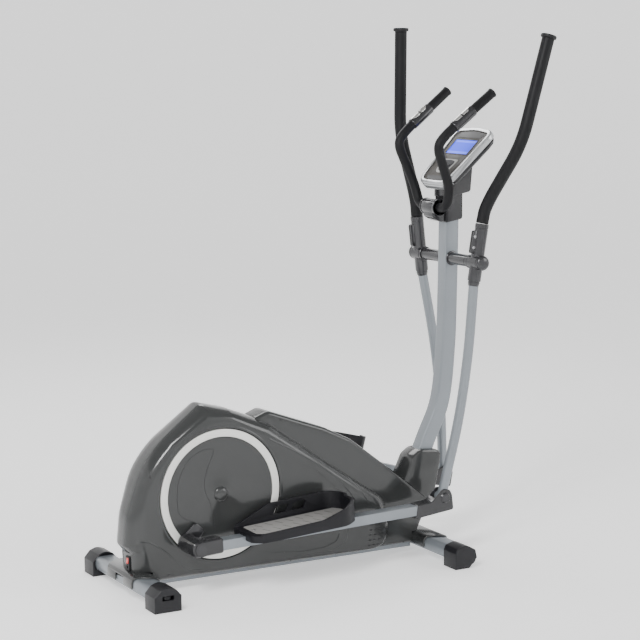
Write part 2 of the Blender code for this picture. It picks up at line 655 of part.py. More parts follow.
def drum_solid(side, grow=0.0, rings=4, steps=3):
    """The bulge round the disc: a loft from the outline at the middle to the flat side face."""
    middle = rounded(DRUM, steps)
    face = rounded(DRUM_FACE, 4)
    work = bmesh.new()
    loops = []
    for k in range(rings + 1):
        quarter = (k - 1) / (rings - 1) * pi / 2
        share = 1.0 if k == 0 else cos(quarter) ** 0.8
        depth = -0.010 if k == 0 else 0.012 + (HOUSING_HALF + grow - 0.012) * sin(quarter)
        loop = []
        for x, z in middle:
            angle = atan2(z - CRANK_Z, x - CRANK_X)
            outer = hypot(x - CRANK_X, z - CRANK_Z)
            inner = max(ray_out(face, CRANK_X, CRANK_Z, angle), DISC_RADIUS + DISC_CLEAR + RIM_WIDTH)
            inner = min(inner, outer - 0.004)
            radius = inner + (outer - inner) * share + grow
            loop.append(work.verts.new((CRANK_X + radius * cos(angle), side * depth,
                                        CRANK_Z + radius * sin(angle))))
        loops.append(loop)
    for near, far in zip(loops, loops[1:]):
        for i in range(len(near)):
            j = (i + 1) % len(near)
            work.faces.new((near[i], near[j], far[j], far[i]))
    work.faces.new(loops[0])
    work.faces.new(loops[-1])
    bmesh.ops.recalc_face_normals(work, faces=work.faces)
    return from_bmesh("drum", work)


def spine_solid(grow=0.0, segments=2):
    """The tall middle of the housing, from the drum forward to the post."""
    outline = moved_out(rounded(SPINE, 3), grow)
    half = SPINE_HALF + grow
    return prism("spine", outline, -half, half, bevel=0.012 + min(grow, 0.0), segments=segments)


def moved_out(outline, grow):
    """An outline moved outwards by `grow` along its corner normals."""
    moved = []
    for i, here in enumerate(outline):
        before = Vector(outline[i - 1])
        after = Vector(outline[(i + 1) % len(outline)])
        along = (after - before).normalized()
        moved.append(tuple(Vector(here) + Vector((along.y, -along.x)) * grow))
    return moved


def housing(side, tag):
    """A half shell: the outer form less the same form drawn one wall thickness smaller."""
    recess = DISC_RADIUS + DISC_CLEAR
    floor_y = DISC_FACE_Y - LEDGE_DEPTH
    shell = join(spine_solid(), drum_solid(side))
    cut(shell, cone("recess", (CRANK_X, side * floor_y, CRANK_Z), (CRANK_X, side * 0.2, CRANK_Z),
                    recess, sides=36))
    inside = join(spine_solid(-WALL, 1), drum_solid(side, -WALL, 3, 1))
    cut(inside, cone("step", (CRANK_X, side * (floor_y - WALL), CRANK_Z),
                     (CRANK_X, side * 0.2, CRANK_Z), recess + WALL, sides=36))
    cut(shell, inside,
        cone("opening", (CRANK_X, -0.3, CRANK_Z), (CRANK_X, 0.3, CRANK_Z), recess - LEDGE_WIDTH,
             sides=36),
        box("other_half", (-1, 1), span(-side, -PARTING, 0.3), (-1, 1)))
    passage = prism("passage", ribbon([post_start - Vector((0.01, 0.06))] + post_path[1:],
                                      POST[0] / 2 + 0.002),
                    -POST[1] / 2 - 0.002, POST[1] / 2 + 0.002)
    cut(shell, passage, beam_room(), *(skirt_room(middle_x) for middle_x in (rear_tube_x, front_tube_x)))
    return finish_part(shell, "housing_" + tag, "gunmetal_gloss")


for side, tag in SIDES:
    housing(side, tag)

# ---------------------------------------------------------------- post shroud and skirts
SHROUD = [(0.3780, 0.2200, 0.030), (0.4180, 0.3050, 0.030), (0.4480, 0.3250, 0.030),
          (0.5280, 0.3180, 0.025), (0.4980, 0.1650, 0.030), (0.4200, 0.1500, 0.030)]
SHROUD_HALF = 0.0420
shroud = prism("shroud", rounded(SHROUD, 3), -SHROUD_HALF, SHROUD_HALF, bevel=0.008)
passage = prism("passage", ribbon(post_path, POST[0] / 2 + 0.0006),
                -POST[1] / 2 - 0.0006, POST[1] / 2 + 0.0006, bevel=0.0)
cut(shroud, spine_solid(0.0006), passage)
finish_part(shroud, "post_shroud", "gunmetal_gloss")


SKIRT_LOW = 0.030
SKIRT_SPREAD = 0.160


def saddle(middle_x, half, low, top, corner, spread):
    outline = rounded([(middle_x - half, low, 0.0), (middle_x - half, top, corner),
                       (middle_x + half, top, corner), (middle_x + half, low, 0.0)], 3)
    return prism("saddle", outline, -spread, spread)


def skirt(name, middle_x, plan):
    """A cover saddled over the middle of a stabilizer, trimmed to its plan outline."""
    shape = saddle(middle_x, SKIRT_HALF, SKIRT_LOW, SKIRT_TOP, 0.022, SKIRT_SPREAD)
    cut(shape, saddle(middle_x, SKIRT_HALF - SKIRT_WALL, 0.0, SKIRT_TOP - SKIRT_WALL, 0.0195,
                      SKIRT_SPREAD + 0.01), beam_room())
    combine(shape, prism("plan", rounded(plan, 3), 0.0, 0.2, "XY"), "INTERSECT")
    return finish_part(shape, name, "gunmetal_gloss")


rear_plan = [(rear_tube_x - 0.045, -0.085, 0.012), (rear_tube_x + 0.045, -0.150, 0.030),
             (rear_tube_x + 0.045, 0.150, 0.030), (rear_tube_x - 0.045, 0.085, 0.012)]
front_plan = [(front_tube_x - 0.045, -0.110, 0.020), (front_tube_x + 0.045, -0.155, 0.030),
              (front_tube_x + 0.045, 0.155, 0.030), (front_tube_x - 0.045, 0.110, 0.020)]
skirt("rear_skirt", rear_tube_x, rear_plan)
skirt("front_skirt", front_tube_x, front_plan)

# ---------------------------------------------------------------- crank set
BEARING_Y = (0.0200, 0.0340)
CRANK_AXLE_RADIUS = 0.0100
DISC_Y = (0.0620, 0.0712)
RING_Y = (0.0620, 0.0735)
CRANK_ARM_Y = (RING_Y[1] + RUN, 0.0870)      # flat crank arm on the face of the disc
BEARING_COVER_Y = 0.0880                     # where the pedal arm's tapered bearing cover starts
BOSS_BASE_RADIUS = 0.0290
BOSS_TIP_RADIUS = 0.0200
BLOCK_INNER_Y = 0.1320


def crank_side(side, tag):
    frame_here = crank_frames[side]
    bearing = turned("bearing", [(CRANK_AXLE_RADIUS + GAP, BEARING_Y[1]), (BEARING_BORE - GAP, BEARING_Y[1]),
                                 (BEARING_BORE - GAP, BEARING_Y[0]), (CRANK_AXLE_RADIUS + GAP, BEARING_Y[0]),
                                 (CRANK_AXLE_RADIUS + GAP, BEARING_Y[1])], side, 20, CRANK_X, CRANK_Z)
    finish_part(bearing, "crank_bearing_" + tag, "bare_steel")
    disc = turned("disc", [(0.0, DISC_Y[1] + 0.0014), (0.080, DISC_Y[1] + 0.0011),
                           (RING_INNER - GAP, DISC_Y[1]), (RING_INNER - GAP, DISC_Y[0]), (0.0, DISC_Y[0])],
                  side, 36)
    cap = cone("cap", (0, side * (DISC_Y[1] - 0.002), 0), (0, side * (DISC_Y[1] + 0.0080), 0),
               0.0185, 0.0100, 24)
    join(disc, cap)
    cut(disc, cone("bore", (0, side * 0.05, 0), (0, side * (DISC_Y[1] - 0.002), 0),
                   CRANK_AXLE_RADIUS + GAP, sides=24))
    finish_part(disc, "crank_disc_" + tag, "gunmetal_gloss", frame_here)
    ring = turned("ring", [(RING_INNER, RING_Y[1] - 0.001), (DISC_RADIUS - 0.003, RING_Y[1]),
                           (DISC_RADIUS, RING_Y[1] - 0.003),
                           (DISC_RADIUS, RING_Y[0]), (RING_INNER, RING_Y[0]),
                           (RING_INNER, RING_Y[1] - 0.001)], side, 36)
    finish_part(ring, "disc_ring_" + tag, "ring_white", frame_here)
    boss = cone("boss", (CRANK_RADIUS, side * CRANK_ARM_Y[0], 0), (CRANK_RADIUS, side * CRANK_ARM_Y[1], 0),
                BOSS_BASE_RADIUS, sides=24)
    arm = prism("arm", rounded([(CRANK_RADIUS - 0.060, -0.020, 0.012), (CRANK_RADIUS, -0.027, 0.0),
                                (CRANK_RADIUS, 0.027, 0.0), (CRANK_RADIUS - 0.060, 0.020, 0.012)], 3),
                *span(side, *CRANK_ARM_Y), bevel=0.003)
    join(boss, arm)
    finish_part(boss, "crank_boss_" + tag, "dark_casting", frame_here)


for side, tag in SIDES:
    crank_side(side, tag)
axle = cone("axle", (CRANK_X, -DISC_Y[1] + 0.003, CRANK_Z), (CRANK_X, DISC_Y[1] - 0.003, CRANK_Z),
            CRANK_AXLE_RADIUS, sides=24)
finish_part(axle, "crank_axle", "bare_steel")

# ---------------------------------------------------------------- belt drive and flywheel
pulley_out, pulley_in = -PULLEY_Y + pulley_half, -PULLEY_Y - pulley_half
bore = CRANK_AXLE_RADIUS + GAP
pulley = turned("pulley", [(bore, pulley_out), (0.024, pulley_out), (0.026, pulley_out - 0.004),
                           (PULLEY_RADIUS - 0.012, pulley_out - 0.004), (PULLEY_RADIUS - 0.010, pulley_out),
                           (PULLEY_RADIUS, pulley_out), (PULLEY_RADIUS, pulley_in), (bore, pulley_in),
                           (bore, pulley_out)], RIGHT, 24, CRANK_X, CRANK_Z)
finish_part(pulley, "drive_pulley", "black_plastic")

half = FLYWHEEL_WIDTH / 2
bore = FLYWHEEL_AXLE_RADIUS + GAP
rim_x, web = FLYWHEEL_RADIUS - 0.028, half - 0.007
flywheel = turned("flywheel", [(bore, pulley_out + 0.001), (SMALL_PULLEY_RADIUS, pulley_out + 0.001),
                               (SMALL_PULLEY_RADIUS, pulley_in), (SMALL_PULLEY_RADIUS - 0.004, pulley_in),
                               (SMALL_PULLEY_RADIUS - 0.004, web), (rim_x - 0.002, web), (rim_x, half),
                               (FLYWHEEL_RADIUS, half), (FLYWHEEL_RADIUS, -half), (rim_x, -half),
                               (rim_x - 0.002, -web), (bore, -web),
                               (bore, pulley_out + 0.001)], RIGHT, 20, FLYWHEEL_X, FLYWHEEL_Z)
finish_part(flywheel, "flywheel", "bare_steel")
axle = cone("axle", (FLYWHEEL_X, FORK_RIGHT_Y - FORK_PLATE - 0.004, FLYWHEEL_Z),
            (FLYWHEEL_X, FORK_LEFT_Y + FORK_PLATE + 0.004, FLYWHEEL_Z), FLYWHEEL_AXLE_RADIUS, sides=20)
finish_part(axle, "flywheel_axle", "bare_steel")


belt_low, belt_high = PULLEY_Y - pulley_half + 0.001, PULLEY_Y + pulley_half - 0.001
belt = prism("belt", belt_outline(GAP + BELT_THICKNESS), belt_low, belt_high)
cut(belt, prism("inside", belt_outline(GAP), belt_low - 0.01, belt_high + 0.01))
finish_part(belt, "drive_belt", "belt_rubber")

idler_out, idler_in = -belt_low + 0.002, -belt_high - 0.001
idler_bore = SMALL_PIN_RADIUS + GAP
idler = turned("idler", [(idler_bore, idler_out), (IDLER_RADIUS, idler_out), (IDLER_RADIUS, idler_in),
                         (idler_bore, idler_in), (idler_bore, idler_out)],
               RIGHT, 16, idler_middle.x, idler_middle.y)
finish_part(idler, "idler_pulley", "black_plastic")

arc = (circle(FLYWHEEL_X, FLYWHEEL_Z, magnet_in + MAGNET_DEPTH, 12, MAGNET_START, MAGNET_SWEEP)
       + circle(FLYWHEEL_X, FLYWHEEL_Z, magnet_in, 12, MAGNET_START + MAGNET_SWEEP, -MAGNET_SWEEP))
magnet = prism("magnet", arc, -half, half)
join(magnet, cone("eye", (magnet_pivot.x, -half, magnet_pivot.y), (magnet_pivot.x, half, magnet_pivot.y),
                  MAGNET_DEPTH / 2 + 0.0015, sides=16))
cut(magnet, cone("bore", (magnet_pivot.x, -0.1, magnet_pivot.y), (magnet_pivot.x, 0.1, magnet_pivot.y),
                 SMALL_PIN_RADIUS + GAP, sides=12))
finish_part(magnet, "magnet_bracket", "bare_steel")
motor = box("motor", (0.262, 0.322), (-0.024, 0.024), (beam_top + GAP, beam_top + 0.042), 0.002, 1)
finish_part(motor, "tension_motor", "black_plastic")

# ---------------------------------------------------------------- swing arms
FORK_PLATE_Y = (0.1336, 0.1784)      # inner and outer faces of the pedal arm's fork
FORK_SLOT = (0.1384, 0.1736)
PIVOT_SLEEVE_RADIUS = 0.0165
PIVOT_PIN_RADIUS = 0.0080
SLEEVE_SPAN = (-0.052, 0.120)        # along the arm, from the hub axis
STUB_RADIUS = 0.0150
HANDLE_LINE = [(0.0, 0.1210, SLEEVE_Y - 0.001), (0.002, 0.1750, SLEEVE_Y), (0.0300, 0.3780, 0.2690),
               (0.0708, 0.7090, 0.2690)]                       # forward, up, |y|
LOWER_LINE = [(0.0, -0.040, SLEEVE_Y), (0.0200, -0.290, 0.162), (0.0220, -0.500, 0.159),
              (0.0, -SWING_LENGTH, PEDAL_ARM_Y)]


def swing_side(side, tag):
    frame_here = swing_frames[side]
    hub_in, hub_out = HUB_SLEEVE_Y
    arm = cone("arm", (0, side * SLEEVE_Y, SLEEVE_SPAN[0]), (0, side * SLEEVE_Y, SLEEVE_SPAN[1]),
               SLEEVE_RADIUS, sides=20)
    join(arm,
         cone("foot", (0, side * SLEEVE_Y, SLEEVE_SPAN[0] + 0.001),
              (0.001, side * SLEEVE_Y, SLEEVE_SPAN[0] - 0.022), SLEEVE_RADIUS, 0.0165, sides=20),
         cone("hub", (0, side * hub_in, 0), (0, side * hub_out, 0), 0.0235, sides=24),
         cone("dome", (0, side * (hub_out - 0.001), 0), (0, side * (hub_out + 0.008), 0), 0.0225, 0.0150, 24),
         box("clamp", (-0.031, -0.010), span(side, SLEEVE_Y - 0.0075, SLEEVE_Y + 0.0075),
             (0.024, 0.098), 0.003, 1),
         tube("lower", smooth_path([(f, side * y, u) for f, u, y in LOWER_LINE], 0.09, 2),
              SWING_TUBE_RADIUS, 12),
         cone("pivot", (0, side * (FORK_SLOT[0] + 0.0006), -SWING_LENGTH),
              (0, side * (FORK_SLOT[1] - 0.0006), -SWING_LENGTH), PIVOT_SLEEVE_RADIUS, sides=16))
    cut(arm,
        cone("hub_bore", (0, side * (hub_in - 0.01), 0), (0, side * (hub_out - 0.001), 0),
             AXLE_RADIUS + GAP, sides=16),
        cone("pivot_bore", (0, side * 0.10, -SWING_LENGTH), (0, side * 0.21, -SWING_LENGTH),
             PIVOT_PIN_RADIUS + GAP, sides=16),
        cone("stub_bore", (0, side * SLEEVE_Y, 0.050), (0, side * SLEEVE_Y, 0.140),
             STUB_RADIUS + GAP, sides=16))
    finish_part(arm, "swing_arm_" + tag, "dark_casting", frame_here)
    handle = tube("handle", smooth_path([(f, side * y, u) for f, u, y in HANDLE_LINE], 0.07, 3),
                  GRIP_RADIUS, 12)
    tip, before = Vector(HANDLE_LINE[-1]), Vector(HANDLE_LINE[-2])
    along = (tip - before).normalized()
    low, high = tip - along * 0.002, tip + along * 0.008
    join(handle, cone("stub", (0, side * SLEEVE_Y, 0.056), (0, side * SLEEVE_Y, 0.130), STUB_RADIUS,
                      sides=16),
         cone("flange", (low.x, side * low.z, low.y), (high.x, side * high.z, high.y), 0.0250, 0.0235, 20))
    finish_part(handle, "swing_handle_" + tag, "black_foam", frame_here)


for side, tag in SIDES:
    swing_side(side, tag)

axle = cone("axle", (HUB_X, -(HUB_SLEEVE_Y[1] - 0.004), HUB_Z), (HUB_X, HUB_SLEEVE_Y[1] - 0.004, HUB_Z),
            AXLE_RADIUS, sides=16)
for side, tag in SIDES:
    join(axle, cone("spacer", (HUB_X, side * (POST[1] / 2 + GAP), HUB_Z),
                    (HUB_X, side * (HUB_SLEEVE_Y[0] - RUN), HUB_Z), SPACER_RADIUS, sides=20))
finish_part(axle, "arm_axle", "black_plastic")

# ---------------------------------------------------------------- pedal arms, in the frame of the lower pivot
TUBE_REAR = (-PEDAL_ARM_LENGTH + 0.020, 0.0)
TUBE_FRONT = (-0.075, -0.0240)
FORK_OUTLINE = [(0.030, -0.0420, 0.008), (0.0270, 0.0050, 0.004), (0.0200, 0.0230, 0.012),
                (-0.006, 0.0290, 0.016), (-0.0270, 0.0120, 0.012), (-0.0480, -0.0050, 0.020),
                (-0.1020, -0.0060, 0.004), (-0.1110, -0.0480, 0.004)]
BLOCK = (0.028, 0.070, 0.0225)         # behind the pin, ahead of the pin, half height
PEDAL_REAR, PEDAL_FRONT = -0.6960, -0.3350
PEDAL_SIDE = (0.0880, 0.2440)
PEDAL_LIFT = 0.0012                    # above the tube
PEDAL_FLOOR = 0.0200
PEDAL_WALL = 0.0070
PEDAL_HIGH = 0.0680


def tube_strip(name, start, end, half_width, half_height, side):
    a, b = Vector(start), Vector(end)
    out = Vector((a.y - b.y, b.x - a.x)).normalized() * half_height
    return prism(name, [tuple(a + out), tuple(a - out), tuple(b - out), tuple(b + out)],
                 side * PEDAL_ARM_Y - half_width, side * PEDAL_ARM_Y + half_width)


def tube_height(x):
    """Middle of the tube at x, in the pedal arm's frame."""
    share = (x - TUBE_REAR[0]) / (TUBE_FRONT[0] - TUBE_REAR[0])
    return TUBE_REAR[1] + share * (TUBE_FRONT[1] - TUBE_REAR[1])


def pedal_shape(side):
    """A tray with a toe wall and an inner side wall, open at the outside and the heel."""
    near, far = PEDAL_SIDE
    bottom = tube_height((PEDAL_REAR + PEDAL_FRONT) / 2) + PEDAL_TUBE[1] / 2 + PEDAL_LIFT
    plan = [(PEDAL_REAR, side * (near + 0.006), 0.012), (PEDAL_FRONT - 0.030, side * near, 0.040),
            (PEDAL_FRONT, side * (near + 0.045), 0.040), (PEDAL_FRONT, side * (far - 0.040), 0.040),
            (PEDAL_FRONT - 0.050, side * far, 0.060), (PEDAL_REAR + 0.030, side * far, 0.040),
            (PEDAL_REAR, side * (far - 0.030), 0.030)]
    inner = [(PEDAL_REAR - 0.030, side * (near + 0.006 + PEDAL_WALL), 0.0),
             (PEDAL_FRONT - 0.034, side * (near + PEDAL_WALL), 0.036),
             (PEDAL_FRONT - PEDAL_WALL - 0.004, side * (near + 0.048), 0.036),
             (PEDAL_FRONT - PEDAL_WALL - 0.004, side * (far - 0.044), 0.036),
             (PEDAL_FRONT - 0.054, side * (far - PEDAL_WALL), 0.050),
             (PEDAL_REAR - 0.030, side * (far - PEDAL_WALL), 0.0)]
    low = tube_height(PEDAL_FRONT) + PEDAL_TUBE[1] / 2
    tray = prism("tray", rounded(plan, 3), low, bottom + PEDAL_HIGH, "XY")
    floor, top = bottom + PEDAL_FLOOR, bottom + PEDAL_HIGH
    heel, toe, above = PEDAL_REAR - 0.05, PEDAL_FRONT + 0.05, bottom + 0.2
    trim_near = rounded([(heel, floor - 0.002, 0), (PEDAL_REAR + 0.010, floor, 0.010),
                         (PEDAL_REAR + 0.120, top - 0.002, 0.030), (PEDAL_FRONT - 0.080, top + 0.001, 0.0),
                         (toe, top - 0.004, 0), (toe, above, 0), (heel, above, 0)])
    trim_far = rounded([(heel, floor - 0.002, 0), (PEDAL_REAR + 0.020, floor, 0.010),
                        (PEDAL_FRONT - 0.130, floor + 0.004, 0.10), (PEDAL_FRONT - 0.020, top - 0.012, 0.050),
                        (toe, top, 0), (toe, above, 0), (heel, above, 0)])
    cut(tray,
        tube_strip("saddle", (PEDAL_REAR - 0.05, tube_height(PEDAL_REAR - 0.05)),
                   (PEDAL_FRONT + 0.05, tube_height(PEDAL_FRONT + 0.05)),
                   PEDAL_TUBE[0] / 2 + GAP, PEDAL_TUBE[1] / 2 + GAP, side),
        prism("well", rounded(inner, 3), bottom + PEDAL_FLOOR - 0.006, bottom + 0.2, "XY"),
        prism("trim_near", trim_near, *span(side, 0.0, PEDAL_ARM_Y)),
        prism("trim_far", trim_far, *span(side, PEDAL_ARM_Y, 0.4)))
    for start in (PEDAL_REAR + 0.135, PEDAL_REAR + 0.195):
        opening = [(start, bottom + 0.030, 0.004), (start + 0.045, bottom + 0.030, 0.004),
                   (start + 0.055, bottom + 0.054, 0.004), (start + 0.014, bottom + 0.054, 0.004)]
        cut(tray, prism("window", rounded(opening, 2), *span(side, near - 0.02, near + 0.030)))
    return tray


def pedal_side(side, tag):
    frame_here = pedal_frames[side]
    half_wide, half_high = PEDAL_TUBE[0] / 2, PEDAL_TUBE[1] / 2
    rail = tube_strip("rail", TUBE_REAR, TUBE_FRONT, half_wide, half_high, side)
    longer = (TUBE_REAR[0] - 0.01, tube_height(TUBE_REAR[0] - 0.01))
    beyond = (TUBE_FRONT[0] + 0.01, tube_height(TUBE_FRONT[0] + 0.01))
    cut(rail, tube_strip("hollow", longer, beyond, half_wide - 0.002, half_high - 0.002, side))
    finish_part(rail, "pedal_arm_" + tag, "silver_paint", frame_here)

    low, high = span(side, *FORK_PLATE_Y)
    fork = prism("fork", rounded(FORK_OUTLINE, 3), low, high, bevel=0.002, segments=1)
    slot_low, slot_high = span(side, *FORK_SLOT)
    cut(fork,
        box("slot", (-0.034, 0.05), (slot_low, slot_high), (-0.0215, 0.06)),
        tube_strip("pocket", (-0.130, tube_height(-0.130)), (TUBE_FRONT[0] + GAP, tube_height(TUBE_FRONT[0])),
                   half_wide + GAP, half_high + GAP, side))
    join(fork, cone("pin", (0, side * (FORK_PLATE_Y[0] - 0.004), 0), (0, side * (FORK_PLATE_Y[1] + 0.003), 0),
                    PIVOT_PIN_RADIUS, sides=16),
         cone("cap", (0, side * (FORK_PLATE_Y[1] - 0.001), 0), (0, side * (FORK_PLATE_Y[1] + 0.006), 0),
              0.0180, 0.0130, 20))
    finish_part(fork, "pedal_fork_" + tag, "dark_casting", frame_here)

    behind, ahead, half = BLOCK
    pin_x = -PEDAL_ARM_LENGTH
    y_low, y_high = span(side, BLOCK_INNER_Y, FORK_PLATE_Y[1] + 0.0016)
    block = prism("block", rounded([(pin_x - behind, -half, 0.014), (pin_x + ahead, -half, 0.008),
                                    (pin_x + ahead, half, 0.008), (pin_x - behind, half, 0.014)], 3),
                  y_low, y_high, bevel=0.003, segments=1)
    join(block, cone("eye", (pin_x, side * BLOCK_INNER_Y, 0), (pin_x, side * (FORK_PLATE_Y[1] + 0.0050), 0),
                     0.0265, 0.0215, 24),
         cone("cover", (pin_x, side * BEARING_COVER_Y, 0), (pin_x, side * (BLOCK_INNER_Y + 0.001), 0),
              BOSS_BASE_RADIUS, BOSS_TIP_RADIUS, 24))
    cut(block, tube_strip("pocket", (TUBE_REAR[0] - GAP, tube_height(TUBE_REAR[0])), (pin_x + ahead + 0.02,
                          tube_height(pin_x + ahead + 0.02)), half_wide + GAP, half_high + GAP, side))
    finish_part(block, "crank_block_" + tag, "dark_casting", frame_here)
    finish_part(pedal_shape(side), "pedal_" + tag, "black_plastic", frame_here)


for side, tag in SIDES:
    pedal_side(side, tag)

# ---------------------------------------------------------------- fixed handlebar
BAR_HALF = [(CLAMP_X, 0.0, CLAMP_Z), (CLAMP_X, 0.0780, CLAMP_Z), (0.5120, 0.1020, 1.150),
            (0.4560, 0.1160, 1.282), (0.4850, 0.1190, 1.318), (0.6490, 0.1280, 1.443)]
BAR_BEND = 0.035
SENSOR_LENGTH = 0.085


def bar_path(side):
    return smooth_path([(x, side * y, z) for x, y, z in BAR_HALF], BAR_BEND, 3)


bar_line = bar_path(LEFT)[::-1] + bar_path(RIGHT)[1:]
fixed_bar = tube("bar", bar_line, FIXED_BAR_RADIUS, 12)
finish_part(fixed_bar, "fixed_handlebar", "black_foam")

sensor_grip, sensor_tip = Vector(BAR_HALF[-2]), Vector(BAR_HALF[-1])
sensor_along = (sensor_tip - sensor_grip).normalized()
for side, tag in SIDES:
    start = sensor_grip + sensor_along * (BAR_BEND + RUN)
    end = start + sensor_along * SENSOR_LENGTH
    a, b = Vector((start.x, side * start.y, start.z)), Vector((end.x, side * end.y, end.z))
    step = (b - a).normalized()
    sleeve = cone("sleeve", a, b, FIXED_BAR_RADIUS + 0.0030, sides=20)
    cut(sleeve, cone("bore", a - step * 0.01, b + step * 0.01, FIXED_BAR_RADIUS + GAP, sides=20))
    finish_part(sleeve, "pulse_sensor_" + tag, "chrome")

# ---------------------------------------------------------------- console
face_up = Vector((cos(CONSOLE_TILT), 0.0, sin(CONSOLE_TILT)))       # along the face, towards its top
face_out = Vector((-sin(CONSOLE_TILT), 0.0, cos(CONSOLE_TILT)))     # out of the face, towards the user
console_frame = Matrix.Translation((CONSOLE_X, 0, CONSOLE_Z)) @ Matrix(
    ((face_up.x, 0.0, face_out.x, 0.0), (0.0, 1.0, 0.0, 0.0),
     (face_up.z, 0.0, face_out.z, 0.0), (0.0, 0.0, 0.0, 1.0)))
CONSOLE_PLAN = [(CONSOLE_LOW, -CONSOLE_HALF_LOW + 0.006, 0.050),
                (CONSOLE_LOW, CONSOLE_HALF_LOW - 0.006, 0.050),
                (CONSOLE_TOP - 0.012, CONSOLE_HALF_TOP, 0.035), (CONSOLE_TOP, 0.0, 0.300),
                (CONSOLE_TOP - 0.012, -CONSOLE_HALF_TOP, 0.035)]
RIM = 0.0130                      # width of the bezel round the face
FACE_DEPTH = 0.0060
SHELL_SETBACK = 0.0060


def on_console(shape):
    shape.data.transform(console_frame)
    return shape


def plate(name, outline, low, high, bevel=0.0):
    return prism(name, outline, low, high, "XY", bevel, 1 if bevel < 0.005 else 2)


plan = rounded(CONSOLE_PLAN, 3)[::-1]
face_plan = moved_out(plan, -RIM)
bezel = plate("bezel", plan, -BEZEL_DEPTH, 0.0020, 0.004)
cut(bezel, plate("face_seat", face_plan, -FACE_DEPTH, 0.05),
    plate("cavity", moved_out(face_plan, -0.004), -BEZEL_DEPTH - 0.01, -FACE_DEPTH + 0.001))
finish_part(on_console(bezel), "console_bezel", "bright_silver")

# the back shell and the sleeve that drops from it over the post's top
shell_plan = [(CONSOLE_LOW + 0.020, -CONSOLE_HALF_LOW + 0.012, 0.040),
              (CONSOLE_LOW + 0.020, CONSOLE_HALF_LOW - 0.012, 0.040),
              (CONSOLE_TOP - 0.016, CONSOLE_HALF_TOP - SHELL_SETBACK, 0.040),
              (CONSOLE_TOP - 0.006, 0.0, 0.300),
              (CONSOLE_TOP - 0.016, -CONSOLE_HALF_TOP + SHELL_SETBACK, 0.040)]
shell_outline = rounded(shell_plan, 3)[::-1]
back = plate("back", shell_outline, -BEZEL_DEPTH - SHELL_DEPTH, -BEZEL_DEPTH - GAP, 0.008)
cut(back, plate("hollow", moved_out(shell_outline, -0.010), -BEZEL_DEPTH - SHELL_DEPTH + WALL,
                -BEZEL_DEPTH + 0.01))
on_console(back)
finish_part(back, "console_shell", "dark_casting")

NECK_HALF = 0.0380
NECK_REAR, NECK_FRONT = 0.5430, 0.6320
NECK_LOW = (1.1160, 1.1330)            # underside at the rear and at the front
NECK_SLEEVE = (0.6060, 1.0380, 0.0300) # front face, underside and half width of the part below


def console_under(x, drop):
    """Height of the plane `drop` below the console's face, at x."""
    along = (x - CONSOLE_X + drop * face_out.x) / face_up.x
    return CONSOLE_Z + along * face_up.z - drop * face_out.z


neck_drop = BEZEL_DEPTH + SHELL_DEPTH + GAP
neck_outline = rounded([(NECK_REAR, NECK_LOW[0], 0.004), (NECK_FRONT, NECK_LOW[1], 0.010),
                        (NECK_FRONT + 0.010, console_under(NECK_FRONT + 0.010, neck_drop), 0.004),
                        (NECK_REAR, console_under(NECK_REAR, neck_drop), 0.004)])
sleeve_front, sleeve_low, sleeve_half = NECK_SLEEVE
sleeve_outline = rounded([(NECK_REAR + GAP, sleeve_low, 0.004), (sleeve_front, sleeve_low + 0.010, 0.010),
                          (sleeve_front, NECK_LOW[1] + 0.010, 0.0), (NECK_REAR + GAP, NECK_LOW[1] + 0.010, 0.0)])
neck = prism("neck", neck_outline, -NECK_HALF, NECK_HALF, bevel=0.003)
join(neck, prism("neck_sleeve", sleeve_outline, -sleeve_half, sleeve_half))
post_top = post_path[-5:-1] + [post_end + Vector((0, GAP))]
cut(neck, prism("post_room", ribbon(post_top, POST[0] / 2 + GAP * 2), -POST[1] / 2 - GAP * 2,
                POST[1] / 2 + GAP * 2))
finish_part(neck, "console_mount", "dark_casting")

# face, display and keys
KEYS = (("key_up", -0.0800, -0.0165), ("key_down", -0.0800, 0.0165), ("key_mode", -0.0800, 0.0))
KEY_RADIUS = 0.0062
DISPLAY_CORNER = 0.003


def display_outline(inset):
    u, v = DISPLAY[1] / 2 - inset, DISPLAY[0] / 2 - inset
    return rounded([(-u, -v, DISPLAY_CORNER), (u, -v, DISPLAY_CORNER), (u, v, DISPLAY_CORNER),
                    (-u, v, DISPLAY_CORNER)], 2)


face = plate("face", moved_out(face_plan, -GAP), -FACE_DEPTH + GAP, -0.0010)
cut(face, plate("window", display_outline(0.0), -FACE_DEPTH - 0.01, 0.01))
for name, along, across in KEYS:
    cut(face, cone("hole", (along, across, -0.02), (along, across, 0.02), KEY_RADIUS + GAP * 2, sides=16))
finish_part(on_console(face), "console_face", "console_grey")
screen = plate("screen", display_outline(GAP), -FACE_DEPTH + GAP, -0.0018)
finish_part(on_console(screen), "display", "display_blue")
for name, along, across in KEYS:
    key = cone("key", (along, across, -FACE_DEPTH + 0.0018), (along, across, 0.0012), KEY_RADIUS,
               KEY_RADIUS - 0.0008, 16)
    finish_part(on_console(key), name, "key_black")

